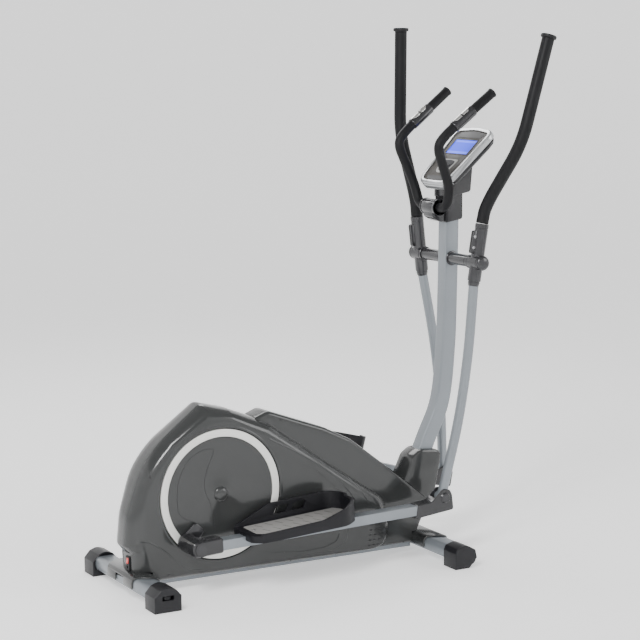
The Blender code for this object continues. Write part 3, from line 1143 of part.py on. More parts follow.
# ---------------------------------------------------------------- handlebar clamp on the post
CLAMP_HALF = 0.0400
clamp = cone("clamp", (CLAMP_X, -CLAMP_HALF, CLAMP_Z), (CLAMP_X, CLAMP_HALF, CLAMP_Z), CLAMP_RADIUS,
             sides=28)
chin = rounded([(CLAMP_X - 0.020, CLAMP_Z - 0.006, 0.0), (CLAMP_X - 0.018, CLAMP_Z - 0.030, 0.010),
                (CLAMP_X + 0.012, CLAMP_Z - 0.046, 0.010), (CLAMP_X + 0.060, CLAMP_Z - 0.046, 0.0),
                (CLAMP_X + 0.060, CLAMP_Z + 0.020, 0.0), (CLAMP_X + 0.004, CLAMP_Z + 0.020, 0.0)])
join(clamp, prism("chin", chin, -0.026, 0.026))
cut(clamp, prism("post_room", ribbon(post_path[-7:-1] + [post_end + Vector((0, 0.05))], POST[0] / 2 + GAP),
                 -0.1, 0.1),
    prism("neck_room", moved_out(neck_outline, GAP), -0.1, 0.1),
    prism("sleeve_room", moved_out(sleeve_outline, GAP), -0.1, 0.1),
    cone("bar_bore", (CLAMP_X, -0.06, CLAMP_Z), (CLAMP_X, 0.06, CLAMP_Z), FIXED_BAR_RADIUS + GAP * 2,
         sides=24))
finish_part(clamp, "handlebar_clamp", "dark_casting")

# ---------------------------------------------------------------- power inlet and switch at the rear
PANEL_X = (-0.5530, -0.5400)
PANEL_Y = (-0.0270, -0.0020)
PANEL_Z = (SKIRT_TOP + 2 * GAP, 0.1100)
SWITCH_MIDDLE = (-0.0145, 0.0960)      # y, z
SWITCH = (0.0140, 0.0180)              # across, high
INLET_MIDDLE = (-0.0145, 0.0765)
INLET_RADIUS = 0.0045


def pair(middle, size, extra=0.0):
    return middle - size / 2 - extra, middle + size / 2 + extra


room = [(low - GAP, high + GAP) for low, high in (PANEL_X, PANEL_Y, PANEL_Z)]
cut(bpy.data.objects["housing_right"], box("room", *room))
panel = box("panel", PANEL_X, PANEL_Y, PANEL_Z, 0.001, 1)
cut(panel, box("switch_hole", (PANEL_X[0] - 0.01, PANEL_X[1] + 0.01), pair(SWITCH_MIDDLE[0], SWITCH[0], 0.0006),
               pair(SWITCH_MIDDLE[1], SWITCH[1], 0.0012)),
    cone("inlet", (PANEL_X[0] - 0.01, INLET_MIDDLE[0], INLET_MIDDLE[1]),
         (PANEL_X[1] - 0.003, INLET_MIDDLE[0], INLET_MIDDLE[1]), INLET_RADIUS, sides=20))
finish_part(panel, "power_inlet", "black_plastic")
rocker = prism("rocker", rounded([(-0.5555, SWITCH_MIDDLE[1] - SWITCH[1] / 2 + 0.001, 0.0),
                                  (-0.5440, SWITCH_MIDDLE[1] - 0.004, 0.003),
                                  (-0.5440, SWITCH_MIDDLE[1] + 0.004, 0.003),
                                  (-0.5530, SWITCH_MIDDLE[1] + SWITCH[1] / 2 - 0.0005, 0.0),
                                  (-0.5540, SWITCH_MIDDLE[1], 0.004)], 3), *pair(SWITCH_MIDDLE[0], SWITCH[0]))
finish_part(rocker, "power_switch", "switch_red")

# ---------------------------------------------------------------- the origin goes under the middle
bpy.context.view_layer.update()
reach_x = [(shape.matrix_world @ vert.co).x for shape in parts.objects if shape.type == "MESH"
           for vert in shape.data.vertices]
machine.location.x = -(min(reach_x) + max(reach_x)) / 2
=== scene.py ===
# %% [markdown]
# # An elliptical cross trainer
# The machine is already modelled as plain solids with working joints. This lesson dresses those solids:
# it rebuilds the surfaces that are seen close up, adds the small fittings, and mixes a finish for each
# material. Every piece is drawn where it stands at rest and then rides on the body that carries it.

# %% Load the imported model
import json
from math import atan2, cos, hypot, pi, radians, sin

import bmesh
import bpy
from mathutils import Matrix, Vector
from mathutils.bvhtree import BVHTree


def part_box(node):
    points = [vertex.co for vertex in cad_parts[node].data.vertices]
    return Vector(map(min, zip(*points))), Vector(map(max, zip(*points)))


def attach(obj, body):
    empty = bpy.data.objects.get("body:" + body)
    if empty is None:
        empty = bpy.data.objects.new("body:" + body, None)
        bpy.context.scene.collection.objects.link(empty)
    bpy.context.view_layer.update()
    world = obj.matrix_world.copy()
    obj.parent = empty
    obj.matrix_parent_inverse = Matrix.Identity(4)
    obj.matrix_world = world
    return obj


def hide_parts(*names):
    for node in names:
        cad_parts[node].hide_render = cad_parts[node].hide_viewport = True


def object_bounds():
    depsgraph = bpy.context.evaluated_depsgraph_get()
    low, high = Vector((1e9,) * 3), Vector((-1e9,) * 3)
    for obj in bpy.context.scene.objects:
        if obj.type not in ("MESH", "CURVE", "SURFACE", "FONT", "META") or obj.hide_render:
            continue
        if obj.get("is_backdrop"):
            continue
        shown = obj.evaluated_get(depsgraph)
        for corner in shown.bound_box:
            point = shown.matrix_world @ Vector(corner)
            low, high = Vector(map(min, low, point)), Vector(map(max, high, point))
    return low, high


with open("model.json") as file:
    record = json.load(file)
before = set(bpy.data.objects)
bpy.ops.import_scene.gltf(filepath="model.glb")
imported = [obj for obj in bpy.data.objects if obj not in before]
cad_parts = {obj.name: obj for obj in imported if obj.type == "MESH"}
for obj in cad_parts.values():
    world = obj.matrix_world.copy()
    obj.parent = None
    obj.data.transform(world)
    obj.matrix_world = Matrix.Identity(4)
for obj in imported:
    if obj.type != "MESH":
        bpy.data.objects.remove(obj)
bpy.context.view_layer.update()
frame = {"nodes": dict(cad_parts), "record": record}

SIDES = ((-1, "right"), (1, "left"))      # sign of y, name: the user faces +X


def middle(node):
    low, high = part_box(node)
    return (Vector(low) + Vector(high)) / 2


CRANK = middle("crank_axle")
print("crank axis at", [round(value, 4) for value in CRANK])

# %% [markdown]
# ## Shader groups
# Paint, foam and moulded plastic all show the same small faults: a fine grain, a slow drift in tone, and
# patches where the gloss is duller. Each effect is one node group with its own inputs, so that every
# material can place it with its own numbers.

# %% Three surface effects
def new_group(name, inputs, outputs):
    tree = bpy.data.node_groups.new(name, "ShaderNodeTree")
    for label, kind, value in inputs:
        socket = tree.interface.new_socket(label, in_out="INPUT", socket_type="NodeSocket" + kind)
        socket.default_value = value
    for label, kind in outputs:
        tree.interface.new_socket(label, in_out="OUTPUT", socket_type="NodeSocket" + kind)
    start = tree.nodes.new("NodeGroupInput")
    end = tree.nodes.new("NodeGroupOutput")
    place = tree.nodes.new("ShaderNodeTexCoord")
    return tree, start, end, place.outputs["Object"]


def noise(tree, place, scale, detail):
    texture = tree.nodes.new("ShaderNodeTexNoise")
    texture.inputs["Detail"].default_value = detail
    tree.links.new(place, texture.inputs["Vector"])
    tree.links.new(scale, texture.inputs["Scale"])
    return texture.outputs["Fac"]


def remap(tree, value, low, high):
    """Stretches a 0 to 1 noise between two sockets."""
    node = tree.nodes.new("ShaderNodeMapRange")
    node.inputs["From Min"].default_value = 0.3
    node.inputs["From Max"].default_value = 0.7
    tree.links.new(value, node.inputs["Value"])
    tree.links.new(low, node.inputs["To Min"])
    tree.links.new(high, node.inputs["To Max"])
    return node.outputs["Result"]


def grain_group():
    tree, start, end, place = new_group("grain", [("Scale", "Float", 900.0)], [("Height", "Float")])
    tree.links.new(noise(tree, place, start.outputs["Scale"], 2.0), end.inputs["Height"])
    return tree


def tone_group():
    tree, start, end, place = new_group(
        "tone", [("Colour", "Color", (0.5, 0.5, 0.5, 1)), ("Darker", "Float", 0.9),
                 ("Lighter", "Float", 1.1), ("Scale", "Float", 6.0)], [("Colour", "Color")])
    share = remap(tree, noise(tree, place, start.outputs["Scale"], 4.0), start.outputs["Darker"],
                  start.outputs["Lighter"])
    scaled = tree.nodes.new("ShaderNodeVectorMath")
    scaled.operation = "SCALE"
    tree.links.new(start.outputs["Colour"], scaled.inputs[0])
    tree.links.new(share, scaled.inputs["Scale"])
    tree.links.new(scaled.outputs["Vector"], end.inputs["Colour"])
    return tree


def sheen_patch_group():
    tree, start, end, place = new_group(
        "gloss_patches", [("Glossy", "Float", 0.3), ("Dull", "Float", 0.4), ("Scale", "Float", 9.0)],
        [("Roughness", "Float")])
    value = remap(tree, noise(tree, place, start.outputs["Scale"], 5.0), start.outputs["Glossy"],
                  start.outputs["Dull"])
    tree.links.new(value, end.inputs["Roughness"])
    return tree


GRAIN, TONE, PATCHES = grain_group(), tone_group(), sheen_patch_group()
print("shader groups:", [tree.name for tree in (GRAIN, TONE, PATCHES)])

# %% [markdown]
# ## Finishes
# One function mixes them all. A painted steel tube differs from a foam grip in five numbers: colour,
# metal, gloss, how coarse the grain is and how deep it goes. Constants go straight on the shader; only
# what changes over the surface comes from a group.

# %% The finishes of this machine
def place_group(tree, group, **values):
    node = tree.nodes.new("ShaderNodeGroup")
    node.node_tree = group
    for label, value in values.items():
        node.inputs[label].default_value = value
    return node


def finish(name, colour, gloss, metal=0.0, grain=(1400.0, 0.05), drift=0.06, coat=0.0, glow=0.0, shine=0.4):
    """gloss is (glossiest, dullest) roughness, grain is (scale, bump strength), shine the mirror share."""
    made = bpy.data.materials.new(name)
    made.use_nodes = True
    tree = made.node_tree
    shader = tree.nodes["Principled BSDF"]
    tone = place_group(tree, TONE, Colour=(*colour, 1.0), Darker=1.0 - drift, Lighter=1.0 + drift)
    tree.links.new(tone.outputs["Colour"], shader.inputs["Base Color"])
    patches = place_group(tree, PATCHES, Glossy=gloss[0], Dull=gloss[1])
    tree.links.new(patches.outputs["Roughness"], shader.inputs["Roughness"])
    grit = place_group(tree, GRAIN, Scale=grain[0])
    bump = tree.nodes.new("ShaderNodeBump")
    bump.inputs["Strength"].default_value = grain[1]
    bump.inputs["Distance"].default_value = 0.0005
    tree.links.new(grit.outputs["Height"], bump.inputs["Height"])
    tree.links.new(bump.outputs["Normal"], shader.inputs["Normal"])
    shader.inputs["Metallic"].default_value = metal
    shader.inputs["Specular IOR Level"].default_value = shine
    shader.inputs["Coat Weight"].default_value = coat
    shader.inputs["Coat Roughness"].default_value = 0.06
    if glow:
        tree.links.new(tone.outputs["Colour"], shader.inputs["Emission Color"])
        shader.inputs["Emission Strength"].default_value = glow
    return made


SILVER = finish("silver_paint", (0.215, 0.235, 0.255), (0.3, 0.38), 0.45, (2200.0, 0.04), 0.03, 0.15)
GUNMETAL = finish("gunmetal_gloss", (0.034, 0.0355, 0.0355), (0.13, 0.19), 0.15, (2600.0, 0.015), 0.04, 0.25)
DARK_METAL = finish("dark_metallic", (0.036, 0.036, 0.039), (0.16, 0.24), 0.45, (2000.0, 0.03), 0.05, 0.4)
DARK_GLOSS = finish("dark_gloss_plastic", (0.02, 0.02, 0.022), (0.18, 0.28), 0.1, (1500.0, 0.05), 0.06, 0.3)
DARK_SATIN = finish("dark_satin_plastic", (0.009, 0.009, 0.01), (0.4, 0.5), 0.0, (1500.0, 0.12), 0.08,
                    shine=0.25)
BLACK_PLASTIC = finish("foot_plastic", (0.01, 0.01, 0.012), (0.36, 0.46), 0.0, (1300.0, 0.12), 0.1,
                       shine=0.3)
PEDAL_PLASTIC = finish("pedal_plastic", (0.007, 0.007, 0.009), (0.36, 0.46), 0.0, (1600.0, 0.15), 0.1,
                       shine=0.25)
TREAD = finish("tread_rubber", (0.235, 0.23, 0.222), (0.55, 0.7), 0.0, (1100.0, 0.3), 0.1, shine=0.2)
FOAM = finish("grip_foam", (0.006, 0.006, 0.007), (0.46, 0.58), 0.0, (1900.0, 0.22), 0.12, shine=0.2)
RING = finish("ring_silver", (0.7, 0.7, 0.67), (0.3, 0.38), 0.15, (2200.0, 0.03), 0.02, 0.4)
BRIGHT = finish("bezel_silver", (0.44, 0.45, 0.46), (0.18, 0.26), 0.6, (2200.0, 0.02), 0.03, 0.3)
CHROME = finish("sensor_chrome", (0.72, 0.71, 0.69), (0.1, 0.18), 1.0, (1800.0, 0.02), 0.04)
STEEL = finish("bare_steel", (0.45, 0.45, 0.46), (0.28, 0.4), 1.0, (900.0, 0.08), 0.08)
IRON = finish("flywheel_iron", (0.2, 0.2, 0.2), (0.35, 0.5), 0.9, (700.0, 0.15), 0.1)
RUBBER = finish("black_rubber", (0.015, 0.015, 0.015), (0.6, 0.75), 0.0, (900.0, 0.25), 0.1)
FACE = finish("console_overlay", (0.034, 0.03, 0.025), (0.4, 0.5), 0.0, (1800.0, 0.05), 0.04, shine=0.2)
KEY = finish("key_rubber", (0.008, 0.009, 0.012), (0.42, 0.52), 0.0, (1500.0, 0.1), 0.06, shine=0.2)
PAD = finish("key_surround", (0.3, 0.3, 0.29), (0.35, 0.45), 0.1, (1800.0, 0.05), 0.04, shine=0.3)
GLASS = finish("display_edge", (0.006, 0.006, 0.008), (0.34, 0.42), 0.0, (1800.0, 0.01), 0.03, shine=0.2)
SCREEN = finish("display_blue", (0.035, 0.07, 0.8), (0.4, 0.48), 0.0, (1800.0, 0.01), 0.05,
                glow=1.0, shine=0.1)
SCREEN_PALE = finish("display_rows", (0.1, 0.15, 0.92), (0.4, 0.48), 0.0, (1800.0, 0.01), 0.05,
                     glow=1.3, shine=0.1)
RED = finish("switch_red", (0.62, 0.035, 0.025), (0.22, 0.3), 0.0, (1500.0, 0.04), 0.05, 0.5)
# Near-black painted shade: it darkens the gap beside each disc, the vent dimples, the groove line on each disc
# and the tread grooves, and it also colours the housing screw heads.
SHADOW = finish("screw_and_painted_shade", (0.012, 0.012, 0.013), (0.4, 0.5), 0.3, (1500.0, 0.05), 0.1)
print("finishes:", len(bpy.data.materials))

# %% [markdown]
# ## Shape tools
# Four ways of making a solid cover the whole machine: a flat outline given thickness, a profile turned
# about an axis, a bar bent along a path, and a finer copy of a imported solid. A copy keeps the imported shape
# and only rounds its hard edges, which is what catches the light on a real moulding.

# %% Outlines, prisms, turned pieces, bars
def placed_in_scene(name, data):
    made = bpy.data.objects.new(name, data)
    bpy.context.scene.collection.objects.link(made)
    return made


def from_bmesh(name, work):
    mesh = bpy.data.meshes.new(name)
    work.to_mesh(mesh)
    work.free()
    return placed_in_scene(name, mesh)


def plain_mesh(piece):
    """Applies every modifier and leaves one plain mesh."""
    bpy.context.view_layer.update()
    graph = bpy.context.evaluated_depsgraph_get()
    mesh = bpy.data.meshes.new_from_object(piece.evaluated_get(graph))
    piece.modifiers.clear()
    piece.data = mesh
    return piece


def curved(a, here, b, steps):
    """Points from a to b on a curve that is drawn towards a corner."""
    shares = [k / steps for k in range(steps + 1)]
    return [a * (1 - t) ** 2 + here * 2 * t * (1 - t) + b * t ** 2 for t in shares]


def rounded(corners, steps=8):
    """An outline from (u, v, radius) corners, each one replaced by a curve."""
    outline = []
    count = len(corners)
    for i, (u, v, radius) in enumerate(corners):
        here = Vector((u, v))
        if radius <= 0:
            outline.append((u, v))
            continue
        before = Vector(corners[i - 1][:2]) - here
        after = Vector(corners[(i + 1) % count][:2]) - here
        angle = before.angle(after)
        reach = min(radius * cos(angle / 2) / max(sin(angle / 2), 1e-6), 0.49 * before.length,
                    0.49 * after.length)
        a, b = here + before.normalized() * reach, here + after.normalized() * reach
        outline += [tuple(point) for point in curved(a, here, b, steps)]
    return outline


def rectangle(low_u, high_u, half, radius):
    """The corners of a rectangle that is centred in v."""
    return [(low_u, -half, radius), (high_u, -half, radius), (high_u, half, radius), (low_u, half, radius)]


TO_XZ = Matrix.Rotation(pi / 2, 4, "X")            # u, v, height become x, z, -y
AS_DRAWN = Matrix.Identity(4)


def prism(name, outline, low, high, place=AS_DRAWN, bevel=0.0, segments=3):
    """A flat outline given thickness between two heights, then put in place by a matrix."""
    work = bmesh.new()
    verts = [work.verts.new((u, v, low)) for u, v in outline]
    face = work.faces.new(verts)
    grown = bmesh.ops.extrude_face_region(work, geom=[face])
    moved = [item for item in grown["geom"] if isinstance(item, bmesh.types.BMVert)]
    bmesh.ops.translate(work, vec=(0, 0, high - low), verts=moved)
    bmesh.ops.recalc_face_normals(work, faces=work.faces)
    if bevel:
        rim = [edge for edge in work.edges if len(edge.link_faces) == 2
               and any(abs(f.normal.z) > 0.9 for f in edge.link_faces)
               and any(abs(f.normal.z) < 0.5 for f in edge.link_faces)]
        bmesh.ops.bevel(work, geom=rim, offset=bevel, segments=segments, profile=0.5, affect="EDGES")
    bmesh.ops.transform(work, matrix=place, verts=work.verts)
    bmesh.ops.recalc_face_normals(work, faces=work.faces)
    return from_bmesh(name, work)


def turned(name, profile, place, steps=64):
    """A profile of (radius, height) turned about local Z. Its ends are on the axis."""
    work = bmesh.new()
    rings = []
    for radius, height in profile:
        if radius < 1e-6:
            rings.append([work.verts.new((0, 0, height))])
        else:
            rings.append([work.verts.new((radius * cos(2 * pi * k / steps), radius * sin(2 * pi * k / steps),
                                          height)) for k in range(steps)])
    for near, far in zip(rings, rings[1:]):
        for k in range(steps):
            j = (k + 1) % steps
            corners = [near[k % len(near)], near[j % len(near)], far[j % len(far)], far[k % len(far)]]
            corners = list(dict.fromkeys(corners))
            if len(corners) > 2:
                work.faces.new(corners)
    if len(rings[0]) > 1 and profile[0] != profile[-1]:
        work.faces.new(rings[0])
        work.faces.new(rings[-1])
    bmesh.ops.remove_doubles(work, verts=work.verts, dist=1e-6)
    bmesh.ops.transform(work, matrix=place, verts=work.verts)
    bmesh.ops.recalc_face_normals(work, faces=work.faces)
    return from_bmesh(name, work)


def rod(radius, low, high, place, steps=32):
    """A plain round bar between two heights, mostly used to drill with."""
    return turned("rod", [(0, low), (radius, low), (radius, high), (0, high)], place, steps)


def closed(profile):
    """A profile that ends where it starts, for a ring that is turned clear of its axis."""
    return profile + profile[:1]


def both_ways(half):
    """A profile and its mirror image below height 0."""
    return [(radius, -height) for radius, height in half[::-1]] + half


def along_y(x, z, side):
    """Places a turned piece on an axis along Y at (x, z): local height is |y| on that side."""
    return Matrix.Translation((x, 0, z)) @ Matrix.Rotation(-side * pi / 2, 4, "X")


def between(a, b):
    """Places local Z from a towards b."""
    a, b = Vector(a), Vector(b)
    return Matrix.Translation(a) @ (b - a).to_track_quat("Z", "Y").to_matrix().to_4x4()


def smooth_path(points, bend, steps):
    """A path through corner points, each bend rounded over a reach of at most bend."""
    corners = [Vector(point) for point in points]
    path = [corners[0]]
    for before, here, after in zip(corners, corners[1:], corners[2:]):
        a = here + (before - here).normalized() * min(bend, 0.45 * (before - here).length)
        b = here + (after - here).normalized() * min(bend, 0.45 * (after - here).length)
        path += curved(a, here, b, steps)
    path.append(corners[-1])
    return path


def bar(name, path, radius, resolution):
    """A round bar along a path: a curve with a bevel depth, made a mesh."""
    curve = bpy.data.curves.new(name, "CURVE")
    curve.dimensions = "3D"
    curve.bevel_depth = radius
    curve.bevel_resolution = resolution
    curve.use_fill_caps = True
    spline = curve.splines.new("POLY")
    spline.points.add(len(path) - 1)
    for point, place in zip(spline.points, path):
        point.co = (*place, 1.0)
    drawn = placed_in_scene(name, curve)
    bpy.context.view_layer.update()
    mesh = bpy.data.meshes.new_from_object(drawn.evaluated_get(bpy.context.evaluated_depsgraph_get()))
    bpy.data.objects.remove(drawn)
    work = bmesh.new()
    work.from_mesh(mesh)
    bpy.data.meshes.remove(mesh)
    bmesh.ops.remove_doubles(work, verts=work.verts, dist=1e-6)
    bmesh.ops.recalc_face_normals(work, faces=work.faces)
    return from_bmesh(name, work)


def combine(piece, other, operation):
    modifier = piece.modifiers.new(operation, "BOOLEAN")
    modifier.operation = operation
    modifier.object = other
    plain_mesh(piece)
    bpy.data.objects.remove(other)
    return piece


def cut(piece, *cutters):
    for cutter in cutters:
        combine(piece, cutter, "DIFFERENCE")
    return piece


def join(piece, *others):
    for other in others:
        combine(piece, other, "UNION")
    return piece


def merged(name, pieces):
    """Several separate solids as one object."""
    work = bmesh.new()
    for piece in pieces:
        work.from_mesh(piece.data)
        bpy.data.objects.remove(piece)
    return from_bmesh(name, work)


def finished(piece, body, finish_used, replaces=(), smooth=32):
    """Gives a piece its finish, shades it, and lets it ride on its body."""
    piece.data.materials.clear()
    piece.data.materials.append(finish_used)
    piece.data.shade_smooth()
    piece.data.set_sharp_from_angle(angle=radians(smooth))
    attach(piece, body)
    if replaces:
        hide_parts(*replaces)
    return piece


node_body = {node: body for body, nodes in frame["record"]["behaviour"]["bodies"].items() for node in nodes}
SAME_POINT, FLAT_TURN, HARD_TURN = 2e-5, 1.0, 28       # metres, then degrees between two faces


def finer(node, finish_used, edge, segments=3, limit=HARD_TURN):
    """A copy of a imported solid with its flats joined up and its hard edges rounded."""
    work = bmesh.new()
    work.from_mesh(frame["nodes"][node].data)
    bmesh.ops.remove_doubles(work, verts=work.verts, dist=SAME_POINT)
    bmesh.ops.dissolve_limit(work, angle_limit=radians(FLAT_TURN), verts=work.verts, edges=work.edges)
    piece = from_bmesh(node + "_fine", work)
    rounding = piece.modifiers.new("edge", "BEVEL")
    rounding.width = edge
    rounding.segments = segments
    rounding.limit_method = "ANGLE"
    rounding.angle_limit = radians(limit)
    rounding.use_clamp_overlap = True
    plain_mesh(piece)
    return finished(piece, node_body[node], finish_used, (node,), 40)


# %% [markdown]
# ## Repeats
# Screws, dimples, tread bars and knurls are one small shape repeated at many places. A Geometry Nodes tree
# instances the shape on a cloud of points; each point carries its own turn as an attribute. The tree ends
# in Realize Instances and Set Material, and the result is kept as a plain mesh.

# %% One tree for everything that repeats
def scatter_tree():
    tree = bpy.data.node_groups.new("repeat_on_points", "GeometryNodeTree")
    for label, kind in (("Geometry", "Geometry"), ("Piece", "Object"), ("Finish", "Material")):
        tree.interface.new_socket(label, in_out="INPUT", socket_type="NodeSocket" + kind)
    tree.interface.new_socket("Geometry", in_out="OUTPUT", socket_type="NodeSocketGeometry")
    start, end = tree.nodes.new("NodeGroupInput"), tree.nodes.new("NodeGroupOutput")
    shape = tree.nodes.new("GeometryNodeObjectInfo")
    turn = tree.nodes.new("GeometryNodeInputNamedAttribute")
    turn.data_type = "FLOAT_VECTOR"
    turn.inputs["Name"].default_value = "turn"
    placed = tree.nodes.new("GeometryNodeInstanceOnPoints")
    real = tree.nodes.new("GeometryNodeRealizeInstances")
    painted = tree.nodes.new("GeometryNodeSetMaterial")
    link = tree.links.new
    link(start.outputs["Piece"], shape.inputs["Object"])
    link(start.outputs["Geometry"], placed.inputs["Points"])
    link(shape.outputs["Geometry"], placed.inputs["Instance"])
    link(turn.outputs["Attribute"], placed.inputs["Rotation"])
    link(placed.outputs["Instances"], real.inputs["Geometry"])
    link(real.outputs["Geometry"], painted.inputs["Geometry"])
    link(start.outputs["Finish"], painted.inputs["Material"])
    link(painted.outputs["Geometry"], end.inputs["Geometry"])
    return tree


REPEAT = scatter_tree()


def repeated(name, shape, places, body, finish_used):
    """A small shape at many places. A place is (position, direction its Z points in[, its X])."""
    mesh = bpy.data.meshes.new(name)
    mesh.from_pydata([tuple(place[0]) for place in places], [], [])
    turns = mesh.attributes.new("turn", "FLOAT_VECTOR", "POINT")
    for i, place in enumerate(places):
        up = Vector(place[1]).normalized()
        side = Vector(place[2]) if len(place) > 2 else up.orthogonal()
        side = (side - up * side.dot(up)).normalized()
        turn = Matrix((side, up.cross(side), up)).transposed().to_euler()
        turns.data[i].vector = tuple(turn)
    cloud = placed_in_scene(name, mesh)
    modifier = cloud.modifiers.new("repeat", "NODES")
    modifier.node_group = REPEAT
    sockets = {item.name: item.identifier for item in REPEAT.interface.items_tree
               if item.in_out == "INPUT"}
    modifier[sockets["Piece"]] = shape
    modifier[sockets["Finish"]] = finish_used
    plain_mesh(cloud)
    bpy.data.objects.remove(shape)
    print(name, "x", len(places), "->", len(cloud.data.polygons), "faces")
    return finished(cloud, body, finish_used)


def screw_head(radius):
    """A pan head with a cross recess, its seat at height 0."""
    head = turned("screw_shape", [
        (0, 0.0018), (radius * 0.45, 0.0017), (radius * 0.8, 0.0011), (radius, 0.0), (radius, -0.0008),
        (0, -0.0008)], AS_DRAWN, 20)
    arm, tip = radius * 0.14, radius * 0.6
    cross = [(-arm, -tip), (arm, -tip), (arm, -arm), (tip, -arm), (tip, arm), (arm, arm), (arm, tip),
             (-arm, tip), (-arm, arm), (-tip, arm), (-tip, -arm), (-arm, -arm)]
    return cut(head, prism("cross", cross, 0.0006, 0.004))

# %% [markdown]
# ## The linkage at rest
# Both sides hang from the crank axis and from the axis of the swing arms. The crank pin gives the pivot
# where each arm meets its pedal tube. The swing arm and the pedal tube each get a frame whose X and Z
# follow the moving part, so that both sides share code.

# %% Frames of the moving parts
def leaning(x, z, turn):
    return Matrix.Translation((x, 0, z)) @ Matrix.Rotation(turn, 4, "Y")


HUB = middle("arm_axle")
CRANK_RADIUS, SWING_LENGTH, PEDAL_LENGTH = 0.1738, 0.7377, 0.8394
RIGHT_CRANK = radians(-131.5)
swing_frame, pedal_frame = {}, {}
for side, tag in SIDES:
    angle = RIGHT_CRANK if side < 0 else RIGHT_CRANK + pi
    pin = Vector((CRANK.x + CRANK_RADIUS * cos(angle), CRANK.z + CRANK_RADIUS * sin(angle)))
    hub = Vector((HUB.x, HUB.z))
    apart = (hub - pin).length
    along = (PEDAL_LENGTH ** 2 - SWING_LENGTH ** 2 + apart ** 2) / (2 * apart)
    unit, height = (hub - pin) / apart, (PEDAL_LENGTH ** 2 - along ** 2) ** 0.5
    pivot = pin + unit * along + Vector((unit.y, -unit.x)) * height
    rise = pivot - pin
    swing_frame[side] = leaning(hub.x, hub.y, atan2(hub.x - pivot.x, hub.y - pivot.y))
    pedal_frame[side] = leaning(pivot.x, pivot.y, -atan2(rise.y, rise.x))
    print(tag, "lower pivot", [round(value, 4) for value in pivot])

# %% [markdown]
# ## The housing
# A narrow spine runs forward to the post, and a rounded drum bulges out round the crank disc. The drum is
# lofted: each ring of the loft is the silhouette drawn in towards the flat side face, on a quarter circle.
# The same two forms, one wall thickness smaller, are cut away to leave a shell for the drive to turn in.

# %% Housing halves
DRUM = [(-0.2174, -0.2467, 0.02), (-0.2754, -0.2267, 0.02), (-0.2774, -0.1567, 0.012),
    (-0.2964, -0.1327, 0.012), (-0.2874, -0.0447, 0.2), (-0.2324, 0.1233, 0.3), (-0.04, 0.269, 0.016),
    (0.046, 0.247, 0.04), (0.1826, 0.1933, 0.06), (0.3926, 0.0453, 0.2), (0.5946, -0.0897, 0.06),
    (0.6026, -0.2467, 0.07)]
DRUM_FACE = [(-0.1974, -0.2297, 0.06), (-0.2354, -0.1447, 0.06), (-0.2224, 0.0553, 0.12),
    (-0.1074, 0.1993, 0.1), (0.0326, 0.2173, 0.06), (0.1706, 0.1483, 0.1), (0.3726, 0.0153, 0.2),
    (0.5626, -0.1347, 0.06), (0.5576, -0.2327, 0.06)]
SPINE = [(0.0126, -0.2447, 0), (0.6886, -0.2447, 0.02), (0.7526, -0.1147, 0.03), (0.6366, -0.0207, 0.1),
    (0.4666, 0.1103, 0.15), (0.3726, 0.1573, 0.1), (0.1766, 0.2283, 0.03), (0.1386, 0.2133, 0.025),
    (0.0126, 0.1153, 0)]
SIDE_FACE, SPINE_HALF, SPINE_EDGE, WALL = 0.0725, 0.045, 0.012, 0.003
RECESS, RIM, LEDGE_Y, OPENING = 0.199, 0.2075, 0.0605, 0.185
RING_IN, RING_OUT = 0.173, 0.196
LOFT_LOW, LOFT_START, LOFT_CURVE, LEAST_BAND = -0.01, 0.012, 0.8, 0.004
HALF_PARTING, CLEAR, FAR_OUT = 0.00015, 0.0003, 0.2
BEAM_ROOM_HALF, BEAM_ROOM_TOP, SKIRT_END = 0.0286, 0.0531, -0.5994
SKIRT_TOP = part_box("rear_skirt")[1].z
FRONT_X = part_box("front_skirt")[0].x
POST_LINE = [(0.6546, -0.2327), (0.6966, -0.0747), (0.7626, 0.0753), (0.8146, 0.1953), (0.8356, 0.3653),
    (0.8426, 0.5553), (0.8486, 0.8753)]
POST_DEPTH, POST_WIDTH, POST_CLEAR = 0.05, 0.046, 0.002
AT_CRANK = Matrix.Translation((CRANK.x, 0, CRANK.z))


def ray_out(outline, angle):
    """How far a ray from the crank axis goes before it leaves an outline."""
    ray, best = Vector((cos(angle), sin(angle))), 1.0
    for a, b in zip(outline, outline[1:] + outline[:1]):
        edge, start = Vector(b) - Vector(a), Vector(a)
        cross = ray.x * edge.y - ray.y * edge.x
        if abs(cross) < 1e-12:
            continue
        distance = (start.x * edge.y - start.y * edge.x) / cross
        along = (start.x * ray.y - start.y * ray.x) / cross
        if distance > 0 and -1e-9 <= along <= 1 + 1e-9:
            best = min(best, distance)
    return best


def loft_band(u, v, face):
    """(angle, where the bulge starts, where it ends) on the ray through a point of the silhouette."""
    angle, outer = atan2(v, u), hypot(u, v)
    return angle, min(max(ray_out(face, angle), RIM), outer - LEAST_BAND), outer


def drum(side, shrink=0.0, rings=12, steps=8):
    outline, face = rounded(DRUM, steps), rounded(DRUM_FACE)
    work = bmesh.new()
    loops = []
    for k in range(rings + 1):
        quarter = (k - 1) / (rings - 1) * pi / 2
        share = 1.0 if k == 0 else max(cos(quarter), 0.0) ** LOFT_CURVE
        depth = LOFT_LOW if k == 0 else LOFT_START + (SIDE_FACE - shrink - LOFT_START) * sin(quarter)
        loop = []
        for u, v in outline:
            angle, inner, outer = loft_band(u, v, face)
            radius = inner + (outer - inner) * share - shrink
            loop.append(work.verts.new((radius * cos(angle), side * depth, radius * sin(angle))))
        loops.append(loop)
    for near, far in zip(loops, loops[1:]):
        for i in range(len(near)):
            j = (i + 1) % len(near)
            work.faces.new((near[i], near[j], far[j], far[i]))
    work.faces.new(loops[0])
    work.faces.new(loops[-1])
    bmesh.ops.transform(work, matrix=AT_CRANK, verts=work.verts)
    bmesh.ops.recalc_face_normals(work, faces=work.faces)
    return from_bmesh("drum", work)


